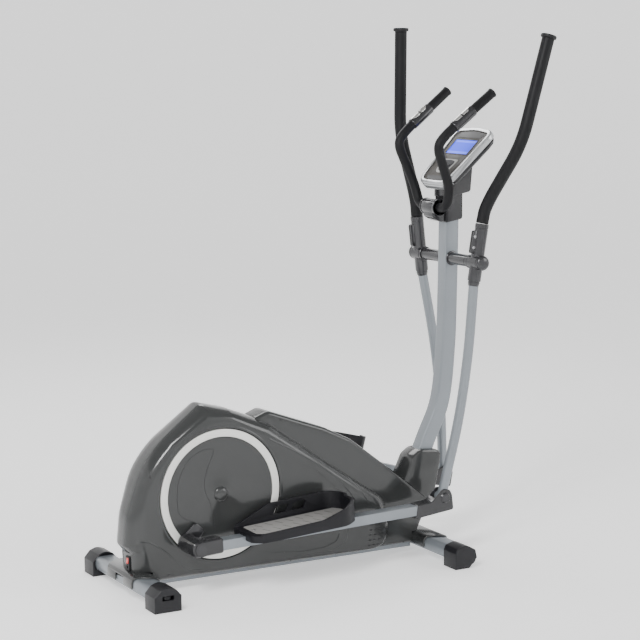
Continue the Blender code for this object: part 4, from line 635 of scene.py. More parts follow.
def moved_out(outline, grow):
    """An outline that runs anticlockwise, moved outwards by a distance."""
    moved = []
    for i, here in enumerate(outline):
        along = (Vector(outline[(i + 1) % len(outline)]) - Vector(outline[i - 1])).normalized()
        moved.append(tuple(Vector(here) + Vector((along.y, -along.x)) * grow))
    return moved


def spine(shrink=0.0, steps=8, segments=5):
    outline = moved_out(rounded(SPINE, steps), -shrink)
    half = SPINE_HALF - shrink
    return prism("spine", outline, -half, half, AT_CRANK @ TO_XZ, SPINE_EDGE - shrink, segments)


def block(low, high):
    """A box between two corners, in the shared frame."""
    outline = [(low[0], low[1]), (high[0], low[1]), (high[0], high[1]), (low[0], high[1])]
    return prism("block", outline, low[2], high[2])


def spline(points, steps):
    """A smooth path through every point."""
    path, ends = [], [points[0]] + list(points) + [points[-1]]
    for i in range(1, len(ends) - 2):
        p0, p1, p2, p3 = (Vector(point) for point in ends[i - 1:i + 3])
        for k in range(steps):
            t = k / steps
            path.append(0.5 * (2 * p1 + (p2 - p0) * t + (2 * p0 - 5 * p1 + 4 * p2 - p3) * t * t
                               + (3 * p1 - p0 - 3 * p2 + p3) * t ** 3))
    return path + [Vector(points[-1])]


def ribbon(points, half):
    """The outline of a strip that is twice half wide, along a path."""
    left, right = [], []
    for i, here in enumerate(points):
        along = points[min(i + 1, len(points) - 1)] - points[max(i - 1, 0)]
        out = Vector((-along.y, along.x)).normalized() * half
        left.append(tuple(here + out))
        right.append(tuple(here - out))
    return left + right[::-1]


post_path = spline(POST_LINE, 10)


def half_shell(side, tag):
    shell, at_disc = join(spine(), drum(side)), along_y(CRANK.x, CRANK.z, side)
    cut(shell, rod(RECESS, LEDGE_Y, FAR_OUT, at_disc, 160))
    inside = join(spine(WALL, 3, 1), drum(side, WALL, 4, 2))
    cut(inside, rod(RECESS + WALL, LEDGE_Y - WALL, FAR_OUT, at_disc, 48))
    cut(shell, inside, rod(OPENING, -0.1, FAR_OUT, at_disc, 96))
    other = sorted((side * -HALF_PARTING, side * -0.3))
    room = POST_WIDTH / 2 + POST_CLEAR
    cut(shell, block((-1, other[0], -1), (1, other[1], 1)),
        block((-1, -BEAM_ROOM_HALF, -0.1), (1, BEAM_ROOM_HALF, BEAM_ROOM_TOP)),
        block((-1, -FAR_OUT, -0.1), (SKIRT_END, FAR_OUT, SKIRT_TOP + CLEAR)),
        block((FRONT_X, -FAR_OUT, -0.1), (1, FAR_OUT, SKIRT_TOP + CLEAR)),
        prism("post_way", ribbon(post_path, POST_DEPTH / 2 + POST_CLEAR), -room, room, AT_CRANK @ TO_XZ))
    shell.name = "housing_shell_" + tag
    return shell


shells = {side: half_shell(side, tag) for side, tag in SIDES}
print("housing faces:", [len(shell.data.polygons) for shell in shells.values()])

# %% [markdown]
# ## Lines pressed into the housing
# A moulded shell carries soft ridges, a dished window and a long recess low on the side. A ridge is a bar
# sunk until only its crown shows; a ray shot from the side finds the surface under each of its points. A
# thin bead follows the line where the drum sinks into the spine.

# %% Ridges and the dished window
CREASES = [[(0.164, 0.149), (0.254, 0.101), (0.352, 0.04), (0.424, -0.026),
    (0.464, -0.076)], [(0.198, 0.151), (0.282, 0.111), (0.388, 0.042), (0.46, -0.018), (0.511, -0.088)]]
WRAP = [(-0.262, -0.112), (-0.229, -0.12), (-0.178, -0.157), (-0.133, -0.2), (-0.08, -0.222),
    (0.015, -0.2275), (0.208, -0.2285), (0.372, -0.222), (0.423, -0.2), (0.434, -0.157)]
WINDOW = [(0.215, 0.09, 0.012), (0.324, 0.036, 0.03), (0.42, -0.052, 0.006), (0.417, -0.061, 0.004),
    (0.21, -0.036, 0.006), (0.206, -0.013, 0.02)]
RACETRACK = [(0.132, -0.193, 0.01), (0.174, -0.202, 0.05), (0.279, -0.213, 0.05), (0.351, -0.21, 0.03),
    (0.394, -0.197, 0.02), (0.409, -0.166, 0.02), (0.36, -0.185, 0.03), (0.28, -0.193, 0.05),
    (0.174, -0.183, 0.03)]


RAY_START = 0.5
RIDGE_RADIUS, RIDGE_SHOWS, BEAD_RADIUS = 0.006, 0.0007, 0.0026
BEAD_FROM_U, BEAD_FROM_V = 0.12, -0.05
WINDOW_DEPTH, RACETRACK_DEPTH = 0.0022, 0.002


def surface_of(piece):
    work = bmesh.new()
    work.from_mesh(piece.data)
    tree = BVHTree.FromBMesh(work)
    work.free()
    return tree


def seen_from_side(tree, side, x, z):
    """(point, outward normal) where a ray from that side meets the surface, or None."""
    hit, normal, _, _ = tree.ray_cast(Vector((x, side * RAY_START, z)), Vector((0, -side, 0)))
    return None if hit is None else (hit, normal)


def laid_on(tree, side, points, sink):
    """A path over the surface through (u, v) points about the crank axis, sunk by a depth."""
    path = []
    for u, v in spline(points, 6):
        found = seen_from_side(tree, side, CRANK.x + u, CRANK.z + v)
        if found:
            path.append(found[0] - found[1].normalized() * sink)
    return path


skins = {side: surface_of(shells[side]) for side, _ in SIDES}
meet_sine = (SPINE_HALF - LOFT_START) / (SIDE_FACE - LOFT_START)      # of the loft angle where they meet
meeting = (1 - meet_sine ** 2) ** (LOFT_CURVE / 2)


def bead_path(side):
    """The line where the drum sinks into the spine."""
    path, face = [], rounded(DRUM_FACE)
    for u, v in rounded(DRUM):
        angle, inner, outer = loft_band(u, v, face)
        radius = inner + (outer - inner) * meeting
        if u > BEAD_FROM_U and v > BEAD_FROM_V:
            path.append(Vector((CRANK.x + radius * cos(angle), side * SPINE_HALF,
                                CRANK.z + radius * sin(angle))))
    return path


for side, tag in SIDES:
    ridges = [bar("ridge", laid_on(skins[side], side, points, RIDGE_RADIUS - RIDGE_SHOWS), RIDGE_RADIUS, 12)
              for points in CREASES + [WRAP]]
    ridges.append(bar("bead", bead_path(side), BEAD_RADIUS, 6))
    finished(merged("housing_ridges_" + tag, ridges), "chassis", GUNMETAL)
    for outline, depth in ((WINDOW, WINDOW_DEPTH), (RACETRACK, RACETRACK_DEPTH)):
        low, high = sorted((side * (SIDE_FACE - depth), side * 0.1))
        cut(shells[side], prism("dish", rounded(outline, 6), -high, -low, AT_CRANK @ TO_XZ))
    finished(shells[side], "chassis", GUNMETAL, ("housing_" + tag,), 30)
print("housing lines cut")

# %% [markdown]
# ## Housing fittings
# A lip and a near-black ring of painted shade in the gap go round each disc, screws close the two halves, and
# a field of near-black dimples near the front stands for the vents, painted shade for their openings.

# %% Lips, gaps, screws and vents
SIDE_SCREWS = [(-0.226, 0.075), (0.237, -0.2365), (-0.173, -0.2235)]
SPINE_SCREWS = [(0.217, 0.1985), (0.643, -0.051), (0.655, -0.2385)]
VENT_CORNERS = [(0.519, -0.161), (0.57, -0.161), (0.511, -0.225), (0.559, -0.225)]
VENT_ROWS, VENT_COLUMNS, SCREW_SINK = 5, 4, 0.0012
LIP = closed([(RECESS + 0.0003, LEDGE_Y + 0.002), (RECESS + 0.0003, 0.0732), (RECESS + 0.0012, 0.0737),
    (RECESS + 0.004, 0.0736), (RIM - 0.002, 0.0729), (RIM + 0.001, 0.0718), (RIM + 0.001, LEDGE_Y +
    0.004)])
GAP = closed([(RING_OUT + 0.0004, LEDGE_Y - 0.0005), (RECESS + 0.0005, LEDGE_Y - 0.0005), (RECESS +
    0.0005, 0.07), (RECESS - 0.0004, 0.07), (RECESS - 0.0004, LEDGE_Y + 0.0008), (RING_OUT +
    0.0004, LEDGE_Y + 0.0008)])
corners = [Vector(corner) for corner in VENT_CORNERS]
vent_points = []
for row in range(VENT_ROWS):
    for column in range(VENT_COLUMNS):
        across = column / (VENT_COLUMNS - 1)
        top, low = corners[0].lerp(corners[1], across), corners[2].lerp(corners[3], across)
        vent_points.append(top.lerp(low, row / (VENT_ROWS - 1)))
for side, tag in SIDES:
    at_disc = along_y(CRANK.x, CRANK.z, side)
    finished(turned("disc_lip_" + tag, LIP, at_disc, 160), "chassis", GUNMETAL)
    # The ring in the gap between the pale ring and the housing is painted shade.
    finished(turned("disc_gap_" + tag, GAP, at_disc, 160), "chassis", SHADOW)
    screws, vents = ([seen_from_side(skins[side], side, CRANK.x + u, CRANK.z + v) for u, v in points]
                     for points in (SIDE_SCREWS + SPINE_SCREWS, vent_points))
    places = [(found[0] - found[1] * SCREW_SINK, found[1]) for found in screws if found]
    # The screw heads are near-black, in the same finish as the painted shade.
    repeated("housing_screws_" + tag, screw_head(0.0048), places, "chassis", SHADOW)
    # The vent dimples are near-black: painted shade for the vent openings.
    dimple = turned("vent_shape", [
        (0, 0.0003), (0.0028, 0.0003), (0.0036, 0.0), (0.0036, -0.0006), (0, -0.0006)],
        Matrix.Diagonal((1.4, 0.7, 1, 1)), 16)
    places = [(*found, (1, 0, 0)) for found in vents if found]
    repeated("housing_vents_" + tag, dimple, places, "chassis", SHADOW)

# %% [markdown]
# ## Crank discs
# Each disc closes the drum with a domed plate, a pale ring and a ball-shaped cap. A thin dark line on the
# plate, painted shade for a groove, lets the eye follow the disc as it turns.

# %% Discs, rings and crank arms
SWOOSH = [(-0.05, -0.11), (-0.083, -0.078), (-0.129, -0.054), (-0.142, -0.015), (-0.137, 0.052),
    (-0.107, 0.11), (-0.06, 0.138), (-0.028, 0.139), (-0.022, 0.13), (-0.034, 0.102), (-0.051, 0.061),
    (-0.052, 0.017), (-0.032, -0.034), (-0.023, -0.085), (-0.022, -0.113)]
DISC_Y, DISC_BACK, BORE, CAP_FLOOR = 0.0712, 0.062, 0.0103, -0.002
LINE_RADIUS, LINE_SINK = 0.0006, 0.0002
DOME = [(0.026, 0.0014), (0.08, 0.0011), (0.15, 0.0003), (RING_IN - 0.0016, 0.0)]      # radius, rise
CAP = [(0.0236, 0.0014), (0.023, 0.0016), (0.0222, 0.0032), (0.02, 0.0058), (0.0166, 0.008),
    (0.012, 0.0097), (0.0062, 0.0107), (0, 0.011), (0, CAP_FLOOR), (BORE, CAP_FLOOR)]
EDGE = [(RING_IN - 0.001, -0.0006)]
PLATE = [(radius, DISC_Y + rise) for radius, rise in EDGE + DOME[:0:-1] + CAP]
PLATE = closed([(BORE, DISC_BACK), (RING_IN - 0.001, DISC_BACK)] + PLATE)
RING_BAND = closed([(RING_IN, DISC_BACK), (RING_OUT, DISC_BACK), (RING_OUT, 0.0715), (RING_OUT -
    0.0008, 0.0729), (RING_OUT - 0.003, 0.0735), (RING_IN + 0.002, 0.0729), (RING_IN + 0.0004, 0.0724),
    (RING_IN, 0.0716)])


def domed(radius):
    """How far out the face of the disc is at a radius."""
    for (r0, rise0), (r1, rise1) in zip(DOME, DOME[1:]):
        if radius <= r1:
            return DISC_Y + rise0 + (rise1 - rise0) * (radius - r0) / (r1 - r0)
    return DISC_Y


for side, tag in SIDES:
    place = along_y(CRANK.x, CRANK.z, side)
    finished(turned("disc_plate_" + tag, PLATE, place, 128), "crank_set", GUNMETAL, ("crank_disc_" + tag,))
    # The swoosh is a near-black bar of painted shade standing for a groove in the plate.
    line = [(CRANK.x - side * u, side * (domed(hypot(u, v)) - LINE_SINK), CRANK.z - side * v)
            for u, v in spline(SWOOSH, 6)]
    finished(bar("disc_line_" + tag, line, LINE_RADIUS, 4), "crank_set", SHADOW)
    finished(turned("disc_band_" + tag, RING_BAND, place, 160), "crank_set", RING, ("disc_ring_" + tag,))
    finer("crank_boss_" + tag, DARK_METAL, 0.0012)

# %% [markdown]
# ## Swing arms
# A dark sleeve clamps the foam-covered handle above the hub, and a thin silver tube hangs below it. The
# hub is bored for the axle that stays with the post.

# %% Sleeves, hubs and lower tubes
HANDLE_LINE = [(0, 0.121, 0.163), (0.002, 0.175, 0.164), (0.03, 0.378, 0.269), (0.0708, 0.709, 0.269)]
LOWER_LINE = [(0, -0.06, 0.164), (0.02, -0.29, 0.162), (0.022, -0.5, 0.159), (0, -0.7377, 0.156)]
GRIP_RADIUS, TUBE_RADIUS, ARM_Y, AXLE_HOLE, PIN_HOLE = 0.0195, 0.0155, 0.164, 0.0098, 0.0083
SLEEVE = [(0, -0.074), (0.0158, -0.074), (0.0168, -0.0725), (0.0186, -0.0635), (0.0186, -0.0615),
    (0.0178, -0.061), (0.0178, -0.059), (0.02, -0.0585), (0.0208, -0.056), (0.0208, 0.012),
    (0.0208, 0.104), (0.02, 0.1045), (0.02, 0.106), (0.0212, 0.1066), (0.0212, 0.1185),
    (0.0202, 0.12), (0, 0.12)]
HUB_SHAPE = [(0, 0.131), (0.0215, 0.131), (0.0228, 0.1322), (0.0228, 0.138), (0.022, 0.1385),
    (0.022, 0.14), (0.0235, 0.1405), (0.0235, 0.189), (0.0226, 0.1895), (0.0226, 0.191),
    (0.0235, 0.1915), (0.0235, 0.1965), (0.0228, 0.1985), (0.0205, 0.2025), (0.0165, 0.2052),
    (0.01, 0.2068), (0, 0.2072)]
LUG = [(-0.031, 0.026, 0.007), (-0.01, 0.024, 0), (-0.01, 0.098, 0), (-0.031, 0.096, 0.007)]
LUG_THICK, LUG_STARTS, BOLTS_X, BOLTS_UP = 0.006, (-0.0075, 0.0015), -0.023, (0.044, 0.078)
EYE = [(0, 0.139), (0.0158, 0.139), (0.0165, 0.1397), (0.0165, 0.1723), (0.0158, 0.173), (0, 0.173)]
KNOB = [(0, -0.004), (0.0215, -0.004), (0.0238, -0.003), (0.0248, -0.001), (0.0248, 0.004),
    (0.024, 0.006), (0.022, 0.0072), (0.012, 0.0078), (0, 0.008)]


def in_arm(side, points):
    """Points given as (forward, up, outward) in an arm's frame, in the shared frame."""
    return [swing_frame[side] @ Vector((forward, side * out, up)) for forward, up, out in points]


for side, tag in SIDES:
    arm, body = swing_frame[side], "swing_" + tag
    at_hub, at_pin = arm @ along_y(0, 0, side), arm @ along_y(0, -SWING_LENGTH, side)
    sleeve = turned("arm_sleeve_" + tag, SLEEVE, arm @ Matrix.Translation((0, side * ARM_Y, 0)), 64)
    join(sleeve, turned("hub", HUB_SHAPE, at_hub, 64))
    cut(sleeve, rod(AXLE_HOLE, 0.1, 0.198, at_hub))
    finished(sleeve, body, DARK_METAL, ("swing_arm_" + tag,))
    lugs = [prism("lug", rounded(LUG), low - side * ARM_Y, low - side * ARM_Y + LUG_THICK, arm @ TO_XZ,
                  0.001, 2) for low in LUG_STARTS]
    finished(merged("clamp_lugs_" + tag, lugs), body, DARK_METAL)
    outward = arm.to_3x3() @ Vector((0, side, 0))
    bolts = [(arm @ Vector((BOLTS_X, side * (ARM_Y - LUG_STARTS[0]), up)), outward) for up in BOLTS_UP]
    repeated("clamp_bolts_" + tag, screw_head(0.005), bolts, body, STEEL)
    lower = bar("lower_tube_" + tag, smooth_path(in_arm(side, LOWER_LINE), 0.09, 12), TUBE_RADIUS, 14)
    join(lower, turned("eye", EYE, at_pin, 48))
    cut(lower, rod(PIN_HOLE, 0.1, 0.2, at_pin))
    finished(lower, body, SILVER, ("swing_arm_" + tag,))
    grip_path = smooth_path(in_arm(side, HANDLE_LINE), 0.07, 12)
    grip = bar("foam_grip_" + tag, grip_path, GRIP_RADIUS, 14)
    finished(grip, body, FOAM, ("swing_handle_" + tag,))
    tip = grip_path[-1]
    knob = turned("grip_end_" + tag, KNOB, between(tip, tip + (tip - grip_path[-2])), 48)
    finished(knob, body, DARK_SATIN)

# %% [markdown]
# ## Post, axle and base
# The post keeps its plain box section but follows a smoother curve. The steel and plastic round it are the
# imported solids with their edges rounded.

# %% Post, spacers, shroud, skirts, stabilizers, feet and pedals
SPACER = [(0, 0.0233), (0.0225, 0.0233), (0.023, 0.024), (0.023, 0.027), (0.0222, 0.0278),
    (0.019, 0.0285), (0.019, 0.118), (0.0182, 0.1185), (0.0182, 0.12), (0.019, 0.1205),
    (0.019, 0.129), (0.0183, 0.1298), (0.0095, 0.1298), (0.0095, 0.195), (0, 0.195)]
post = prism("post_fine", ribbon(post_path, POST_DEPTH / 2), -POST_WIDTH / 2, POST_WIDTH / 2,
             AT_CRANK @ TO_XZ, 0.006, 5)
cut(post, block((-1, -1, -1), (1, 1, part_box("post")[0].z)))
finished(post, "chassis", SILVER, ("post",))
spacers = [turned("spacer", SPACER, along_y(HUB.x, HUB.z, side), 64) for side, _ in SIDES]
finished(merged("axle_spacers", spacers), "chassis", DARK_METAL, ("arm_axle",))
for node in ("rear_stabilizer", "front_stabilizer"):
    finer(node, SILVER, 0.0006, 2, 60)
finer("main_frame", SILVER, 0.001, 1)
for used, nodes in ((GUNMETAL, ("post_shroud", "rear_skirt", "front_skirt")),
                    (DARK_METAL, ("handlebar_clamp",)), (DARK_GLOSS, ("console_mount", "console_shell"))):
    for node in nodes:
        finer(node, used, 0.002)
FINER_PAIRS = (("rear_foot", BLACK_PLASTIC, 0.0022, 3), ("front_foot", BLACK_PLASTIC, 0.0022, 3),
    ("pedal_arm", SILVER, 0.0035, 4), ("pedal_fork", DARK_GLOSS, 0.0018, 3),
    ("crank_block", DARK_GLOSS, 0.0018, 3), ("pedal", PEDAL_PLASTIC, 0.0014, 3))
for side, tag in SIDES:
    for node, used, edge, segments in FINER_PAIRS:
        finer(node + "_" + tag, used, edge, segments)

# %% [markdown]
# ## What is inside
# The drive is hidden in the housing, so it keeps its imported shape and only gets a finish.

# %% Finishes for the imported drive
INSIDE = {"crank_bearing_right": STEEL, "crank_bearing_left": STEEL, "crank_axle": STEEL,
          "flywheel_axle": STEEL, "flywheel": IRON, "magnet_bracket": STEEL, "drive_belt": RUBBER,
          "drive_pulley": BLACK_PLASTIC, "idler_pulley": BLACK_PLASTIC, "tension_motor": BLACK_PLASTIC}
for node, used in INSIDE.items():
    mesh = frame["nodes"][node].data
    mesh.materials.clear()
    mesh.materials.append(used)

# %% [markdown]
# ## Thumb wheels, transport wheels and pedal treads
# Knurls and tread grooves are repeats. The tread is a pale insert in the pedal floor; its grooves are
# near-black strips of painted shade in two rows of eight, and two raised bars stand on each crank block.

# %% Wheels and knurls
THUMB_RADIUS, KNURLS = 0.0146, 28
THUMB = both_ways([(THUMB_RADIUS, 0.0035), (0.0143, 0.0045), (0.013, 0.0055), (0, 0.0055)])
TYRE = closed(both_ways([(0.024, 0.006), (0.0238, 0.0085), (0.0225, 0.01), (0.02, 0.01),
    (0.019, 0.0085), (0.013, 0.0085), (0.012, 0.01), (0.0043, 0.01)]))
for side, tag in SIDES:
    knob = middle("rear_leveler_" + tag)
    finished(turned("thumb_wheel_" + tag, THUMB, Matrix.Translation(knob), 48), "level_wheel_" + tag,
             BLACK_PLASTIC, ("rear_leveler_" + tag,))
    ridge = prism("ridge_shape", rounded(rectangle(-0.0008, 0.0008, 0.0042, 0.0004), 2), -0.0006, 0.0008)
    around = []
    for k in range(KNURLS):
        turn = 2 * pi * k / KNURLS
        around.append((knob + Vector((THUMB_RADIUS * cos(turn), THUMB_RADIUS * sin(turn), 0)),
                       (cos(turn), sin(turn), 0), (-sin(turn), cos(turn), 0)))
    repeated("thumb_knurl_" + tag, ridge, around, "level_wheel_" + tag, BLACK_PLASTIC)
    wheel = Matrix.Translation(middle("transport_wheel_" + tag)) @ Matrix.Rotation(pi / 2, 4, "X")
    finished(turned("tyre_" + tag, TYRE, wheel, 64), "roller_" + tag, BLACK_PLASTIC,
             ("transport_wheel_" + tag,))

# %% Pedal treads
TREAD_REAR, TREAD_FRONT, FLOOR = -0.672, -0.372, 0.0206
TREAD_TOP = FLOOR + 0.0012
TREAD_PLAN = [(TREAD_REAR, 0.112, 0.01), (TREAD_FRONT + 0.02, 0.106, 0.024), (TREAD_FRONT +
    0.026, 0.14, 0.03), (TREAD_FRONT + 0.02, 0.196, 0.03), (TREAD_FRONT - 0.03, 0.226, 0.04),
    (TREAD_REAR + 0.03, 0.226, 0.03), (TREAD_REAR, 0.204, 0.02)]
GROOVE_ROWS, GROOVE_STEP, GROOVE_COLUMNS, GROOVE_LEAN = 8, 0.034, 2, 0.35
BLOCK_BAR_X, BLOCK_BAR_Z, BLOCK_BARS_OUT = -PEDAL_LENGTH + 0.036, 0.0225, (0.146, 0.166)
PIVOT_CAPS = ((0, 0.1843, 0.015, "fork"), (-PEDAL_LENGTH, 0.1836, 0.02, "block"))
PIVOT_CAP = [(0, -0.006), (1, -0.006), (1, -0.0015), (0.94, -0.0006), (0.8, -0.0004), (0.78, -0.0012),
             (0.7, -0.0012), (0.68, -0.0002), (0.3, 0.0006), (0, 0.0008)]       # share of radius, height
for side, tag in SIDES:
    place, body = pedal_frame[side], "stride_" + tag
    turn = place.to_3x3()
    up = turn @ Vector((0, 0, 1))
    outline = rounded([(x, side * out, radius) for x, out, radius in TREAD_PLAN])
    finished(prism("tread_" + tag, outline, FLOOR - 0.0008, TREAD_TOP, place, 0.0006, 2), body, TREAD)
    # Each groove is a thin near-black strip of painted shade on the tread.
    groove = prism("groove_shape", rounded(rectangle(-0.017, 0.017, 0.0009, 0.0008), 3), -0.0006, 0.0002)
    grooves = [(place @ Vector((TREAD_REAR + 0.04 + row * GROOVE_STEP, side * (0.139 + column * 0.052),
                                TREAD_TOP)), up, turn @ Vector((side * GROOVE_LEAN, 1, 0)))
               for row in range(GROOVE_ROWS) for column in range(GROOVE_COLUMNS)]
    repeated("tread_grooves_" + tag, groove, grooves, body, SHADOW)
    screws = [(place @ Vector((x, side * 0.166, TREAD_TOP)), up)
              for x in (TREAD_REAR + 0.012, TREAD_FRONT + 0.008)]
    repeated("tread_screws_" + tag, screw_head(0.0052), screws, body, STEEL)
    rib = prism("rib_shape", rounded(rectangle(-0.018, 0.018, 0.0045, 0.004), 5), -0.002, 0.0022,
                bevel=0.0012)
    bars = [(place @ Vector((BLOCK_BAR_X, side * out, BLOCK_BAR_Z)), up, turn @ Vector((1, 0, 0)))
            for out in BLOCK_BARS_OUT]
    repeated("block_bars_" + tag, rib, bars, body, DARK_GLOSS)
    for x, out, radius, where in PIVOT_CAPS:
        profile = [(radius * share, out + height) for share, height in PIVOT_CAP]
        cap = turned("pivot_cap_%s_%s" % (where, tag), profile, place @ along_y(x, 0, side), 48)
        finished(cap, body, DARK_METAL)

# %% [markdown]
# ## Fixed handlebar and pulse grips
# The fixed bar is one bent tube in black foam. Its grips carry two bright pads each, cut from a sleeve by
# an almond-shaped punch, set in a dark surround.

# %% Bar, surrounds and pads
SHIFT = HUB.x - 0.5715             # the points below are given for an axle at 0.5715
BAR_HALF = [(0.515, 0.0, 1.088), (0.515, 0.078, 1.088), (0.512, 0.102, 1.15),
    (0.456, 0.116, 1.282), (0.485, 0.119, 1.318), (0.649, 0.128, 1.443)]
BAR_RADIUS, SENSOR_START, SENSOR_LONG = 0.015, 0.036, 0.085
SURROUND = closed([(BAR_RADIUS, 0.0), (0.0165, 0.0), (0.0176, 0.0015), (0.0178, 0.004), (0.0178, 0.081),
    (0.0176, 0.0835), (0.0165, SENSOR_LONG), (BAR_RADIUS, SENSOR_LONG)])
PAD_SLEEVE = closed([(0.016, 0.001), (0.0185, 0.001), (0.0185, 0.084), (0.016, 0.084)])
PAD_ENDS, PAD_HALF, PAD_CORNER = ((0.008, 0.0405), (0.0445, 0.077)), 0.0115, 0.002
BAR_END = [(0, -0.003), (0.0155, -0.003), (0.016, -0.001), (0.016, 0.0015), (0.015, 0.0028), (0, 0.0032)]
COLLAR = closed([(0.0153, 0.033), (0.0258, 0.033), (0.0262, 0.034), (0.0262, 0.0385), (0.025, 0.04),
    (0.0153, 0.04)])


def pad_outline(low, high):
    """An almond with a blunt end; the second pad of a grip is turned end for end."""
    tip, bend, flat = low + 0.01, PAD_CORNER, PAD_HALF - PAD_CORNER
    outline = rounded([(low, -bend, 0.004), (tip, -PAD_HALF, 0.012), (high - bend, -PAD_HALF, bend),
                       (high, -flat, bend), (high, flat, bend), (high - bend, PAD_HALF, bend),
                       (tip, PAD_HALF, 0.012), (low, bend, 0.004)], 6)
    return outline if low == PAD_ENDS[0][0] else [(low + high - u, -v) for u, v in outline]


halves = [smooth_path([(x + SHIFT, side * y, z) for x, y, z in BAR_HALF], 0.035, 12) for side in (1, -1)]
foam = bar("fixed_grips", halves[0][::-1] + halves[1][1:], BAR_RADIUS, 12)
finished(foam, "chassis", FOAM, ("fixed_handlebar",))
for side, tag in SIDES:
    grip, tip = (Vector((x + SHIFT, side * y, z)) for x, y, z in BAR_HALF[-2:])
    along = (tip - grip).normalized()
    start = grip + along * SENSOR_START
    place = between(start, start + along)
    finished(turned("sensor_surround_" + tag, SURROUND, place, 64), "chassis", DARK_GLOSS,
             ("pulse_sensor_" + tag,))
    up = Vector((0, 0, 1))
    up = (up - along * up.dot(along)).normalized()
    flat = Matrix((along, up.cross(along), up)).transposed().to_4x4()
    flat.translation = start
    pads = [combine(turned("pad", PAD_SLEEVE, place, 96),
                    prism("punch", pad_outline(*ends), 0.002, 0.03, flat), "INTERSECT") for ends in PAD_ENDS]
    finished(merged("pulse_pads_" + tag, pads), "chassis", CHROME)
    finished(turned("bar_end_" + tag, BAR_END, between(tip, tip + along), 48), "chassis", DARK_SATIN)
rings = [turned("ring", COLLAR, along_y(0.515 + SHIFT, 1.088, side), 64) for side, _ in SIDES]
finished(merged("clamp_collars", rings), "chassis", DARK_METAL)

# %% [markdown]
# ## Console
# The face is tilted 44 degrees. Its pieces are drawn flat, in a frame whose X runs up the face and whose
# Z points at the user, and then put in place together.

# %% Bezel, face, display and keys
TILT = radians(44.1)
face_up, face_out = Vector((cos(TILT), 0, sin(TILT))), Vector((-sin(TILT), 0, cos(TILT)))
CONSOLE = Matrix((face_up, Vector((0, 1, 0)), face_out)).transposed().to_4x4()
CONSOLE.translation = (0.6206 + SHIFT, 0, 1.2726)
PLAN = [(-0.16, -0.082, 0.05), (-0.16, 0.082, 0.05), (0.074, 0.105, 0.035), (0.086, 0.0, 0.3),
    (0.074, -0.105, 0.035)]
CHIN = [(-0.162, -0.06, 0.04), (-0.128, -0.084, 0.02), (-0.128, 0.084, 0.02), (-0.162, 0.06, 0.04)]
BEZEL_RIM = 0.013
plan = rounded(PLAN, 14)[::-1]
bezel = prism("bezel_fine", plan, -0.018, 0.002, CONSOLE, 0.0055, 5)
cut(bezel, prism("seat", moved_out(plan, -BEZEL_RIM), -0.006, 0.05, CONSOLE),
    prism("hollow", moved_out(plan, -BEZEL_RIM - 0.0003), -0.03, -0.005, CONSOLE))
finished(bezel, "chassis", BRIGHT, ("console_bezel",))
finished(prism("console_chin", rounded(CHIN, 10), -0.03, -0.002, CONSOLE, 0.01, 5), "chassis", BRIGHT)
finer("console_face", FACE, 0.0005, 2)


def on_face(name, corners, low, high, used, *cutters):
    """A thin plate on the face, with something cut out of it."""
    return finished(cut(prism(name, rounded(corners), low, high, CONSOLE), *cutters), "chassis", used)


def key_holes():
    return [rod(KEY_HOLE, -0.02, 0.02, CONSOLE @ Matrix.Translation((KEY_ROW, across, 0)))
            for across in KEYS.values()]


KEYS = {"key_up": -0.0165, "key_down": 0.0165, "key_mode": 0.0}
KEY_ROW, KEY_HOLE = -0.08, 0.0067
PRINT_LOW, PRINT_HIGH = -0.0011, -0.0006
ROW_LOW, ROW_HIGH = -0.0018, -0.0015
ARCH = [(0.04, -0.066, 0.006), (0.04, 0.066, 0.006), (0.06, 0.068, 0.012), (0.068, 0.0, 0.2),
    (0.06, -0.068, 0.012)]
LOWER_BAND = [(-0.142, -0.04, 0.02), (-0.142, 0.04, 0.02), (-0.128, 0.058, 0.006), (-0.124, 0.0, 0.2),
    (-0.128, -0.058, 0.006)]
KEY_PLATE = [(-0.112, -0.03, 0.024), (-0.112, 0.03, 0.024), (-0.054, 0.046, 0.008), (-0.054, -0.046, 0.008)]
KEY_FIELD = [(-0.104, -0.024, 0.018), (-0.104, 0.024, 0.018), (-0.062, 0.036, 0.012), (-0.056, 0.0, 0.1),
    (-0.062, -0.036, 0.012)]
on_face("arched_band", ARCH, PRINT_LOW, PRINT_HIGH, GLASS)
on_face("lower_band", LOWER_BAND, PRINT_LOW, PRINT_HIGH, GLASS)
on_face("key_surround", KEY_PLATE, PRINT_LOW, -0.0004, PAD, *key_holes())
on_face("key_field", KEY_FIELD, PRINT_HIGH, 0.0001, KEY, *key_holes())
finer("display", SCREEN, 0.0002, 1)
on_face("display_top_row", rectangle(0.019, 0.0275, 0.056, 0.001), ROW_LOW, ROW_HIGH, SCREEN_PALE)
on_face("display_low_row", rectangle(-0.0275, -0.019, 0.056, 0.001), ROW_LOW, ROW_HIGH, SCREEN_PALE)
opening = prism("opening", rounded(rectangle(-0.0295, 0.0295, 0.059, 0.002), 6), -0.01, 0.01, CONSOLE)
on_face("display_frame", rectangle(-0.0335, 0.0335, 0.0635, 0.003), -0.0012, -0.0004, GLASS, opening)
for node in KEYS:
    finer(node, PAD if node == "key_mode" else KEY, 0.0008)

# %% [markdown]
# ## Power inlet
# A small panel above the rear skirt holds the socket and a red rocker.

# %% Inlet and switch
finer("power_inlet", DARK_SATIN, 0.0008)
finer("power_switch", RED, 0.0008)

# %% [markdown]
# ## Floor, light and camera
# The machine stands on a plain pale floor in a pale room. One soft light above and to the left makes the
# long highlights along the housing, a weaker one opens the shadow side, and a third lights the back.

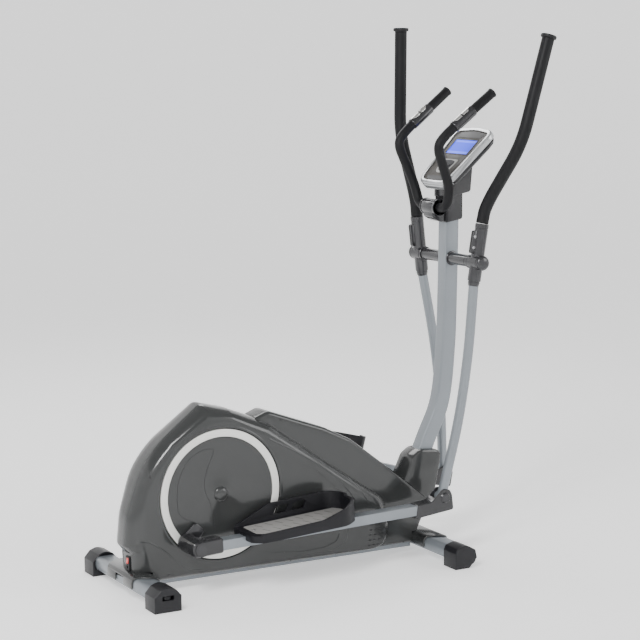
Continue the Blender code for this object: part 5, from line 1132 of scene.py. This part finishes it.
# %% Stage
PALE = finish("pale_floor", (0.9, 0.9, 0.9), (0.75, 0.8), 0.0, (300.0, 0.0), 0.005, 0.0, 0.55)
FLOOR_FLAT, BEND_RADIUS, BOWL_TOP, FLOOR_GAP = 6.0, 4.0, 6.5, 0.0004
bend = []
for k in range(13):
    turn = pi * k / 24
    bend.append((FLOOR_FLAT + BEND_RADIUS * sin(turn), BEND_RADIUS - BEND_RADIUS * cos(turn)))
bowl = [(0, 0)] + bend + [(FLOOR_FLAT + BEND_RADIUS, BOWL_TOP)]
sweep = turned("floor", bowl, Matrix.Translation((0, 0, -FLOOR_GAP)), 96)
sweep.data.materials.append(PALE)
sweep.data.shade_smooth()
sweep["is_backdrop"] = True
world = bpy.data.worlds.new("room")
bpy.context.scene.world = world
world.use_nodes = True
room_light = world.node_tree.nodes["Background"]
room_light.inputs["Color"].default_value = (1.0, 1.0, 1.0, 1.0)
room_light.inputs["Strength"].default_value = 0.5


def softbox(name, place, aim, size, power):
    """A rectangular area light at a place, turned towards a point."""
    light = bpy.data.lights.new(name, "AREA")
    light.shape = "RECTANGLE"
    light.size, light.size_y = size
    light.energy = power
    lamp = placed_in_scene(name, light)
    turn = (Vector(aim) - Vector(place)).to_track_quat("-Z", "Y")
    lamp.matrix_world = Matrix.Translation(place) @ turn.to_matrix().to_4x4()


softbox("key_light", (-2.8, -2.2, 3.6), (0, 0, 0.6), (1.0, 2.0), 170)
softbox("fill_light", (3.2, -3.0, 2.2), (0, 0, 0.7), (1.6, 2.2), 45)
softbox("back_light", (0.5, 3.0, 3.4), (0, 0, 0.5), (2.4, 1.2), 60)

# %% Camera
CAMERA_AT = (-2.8572, -5.1421, 1.6126)
HEADING, PITCH, ROLL = radians(-29.1), radians(81.75), radians(-0.32)
lens = bpy.data.cameras.new("view")
lens.lens, lens.sensor_width = 109.3, 36.0
camera = placed_in_scene("view", lens)
camera.matrix_world = (Matrix.Translation(CAMERA_AT) @ Matrix.Rotation(HEADING, 4, "Z")
                       @ Matrix.Rotation(PITCH, 4, "X") @ Matrix.Rotation(ROLL, 4, "Z"))
bpy.context.scene.camera = camera

# %% Size of what is shown, then the last line
low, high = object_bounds()
print("shown box", [round(b - a, 4) for a, b in zip(low, high)])
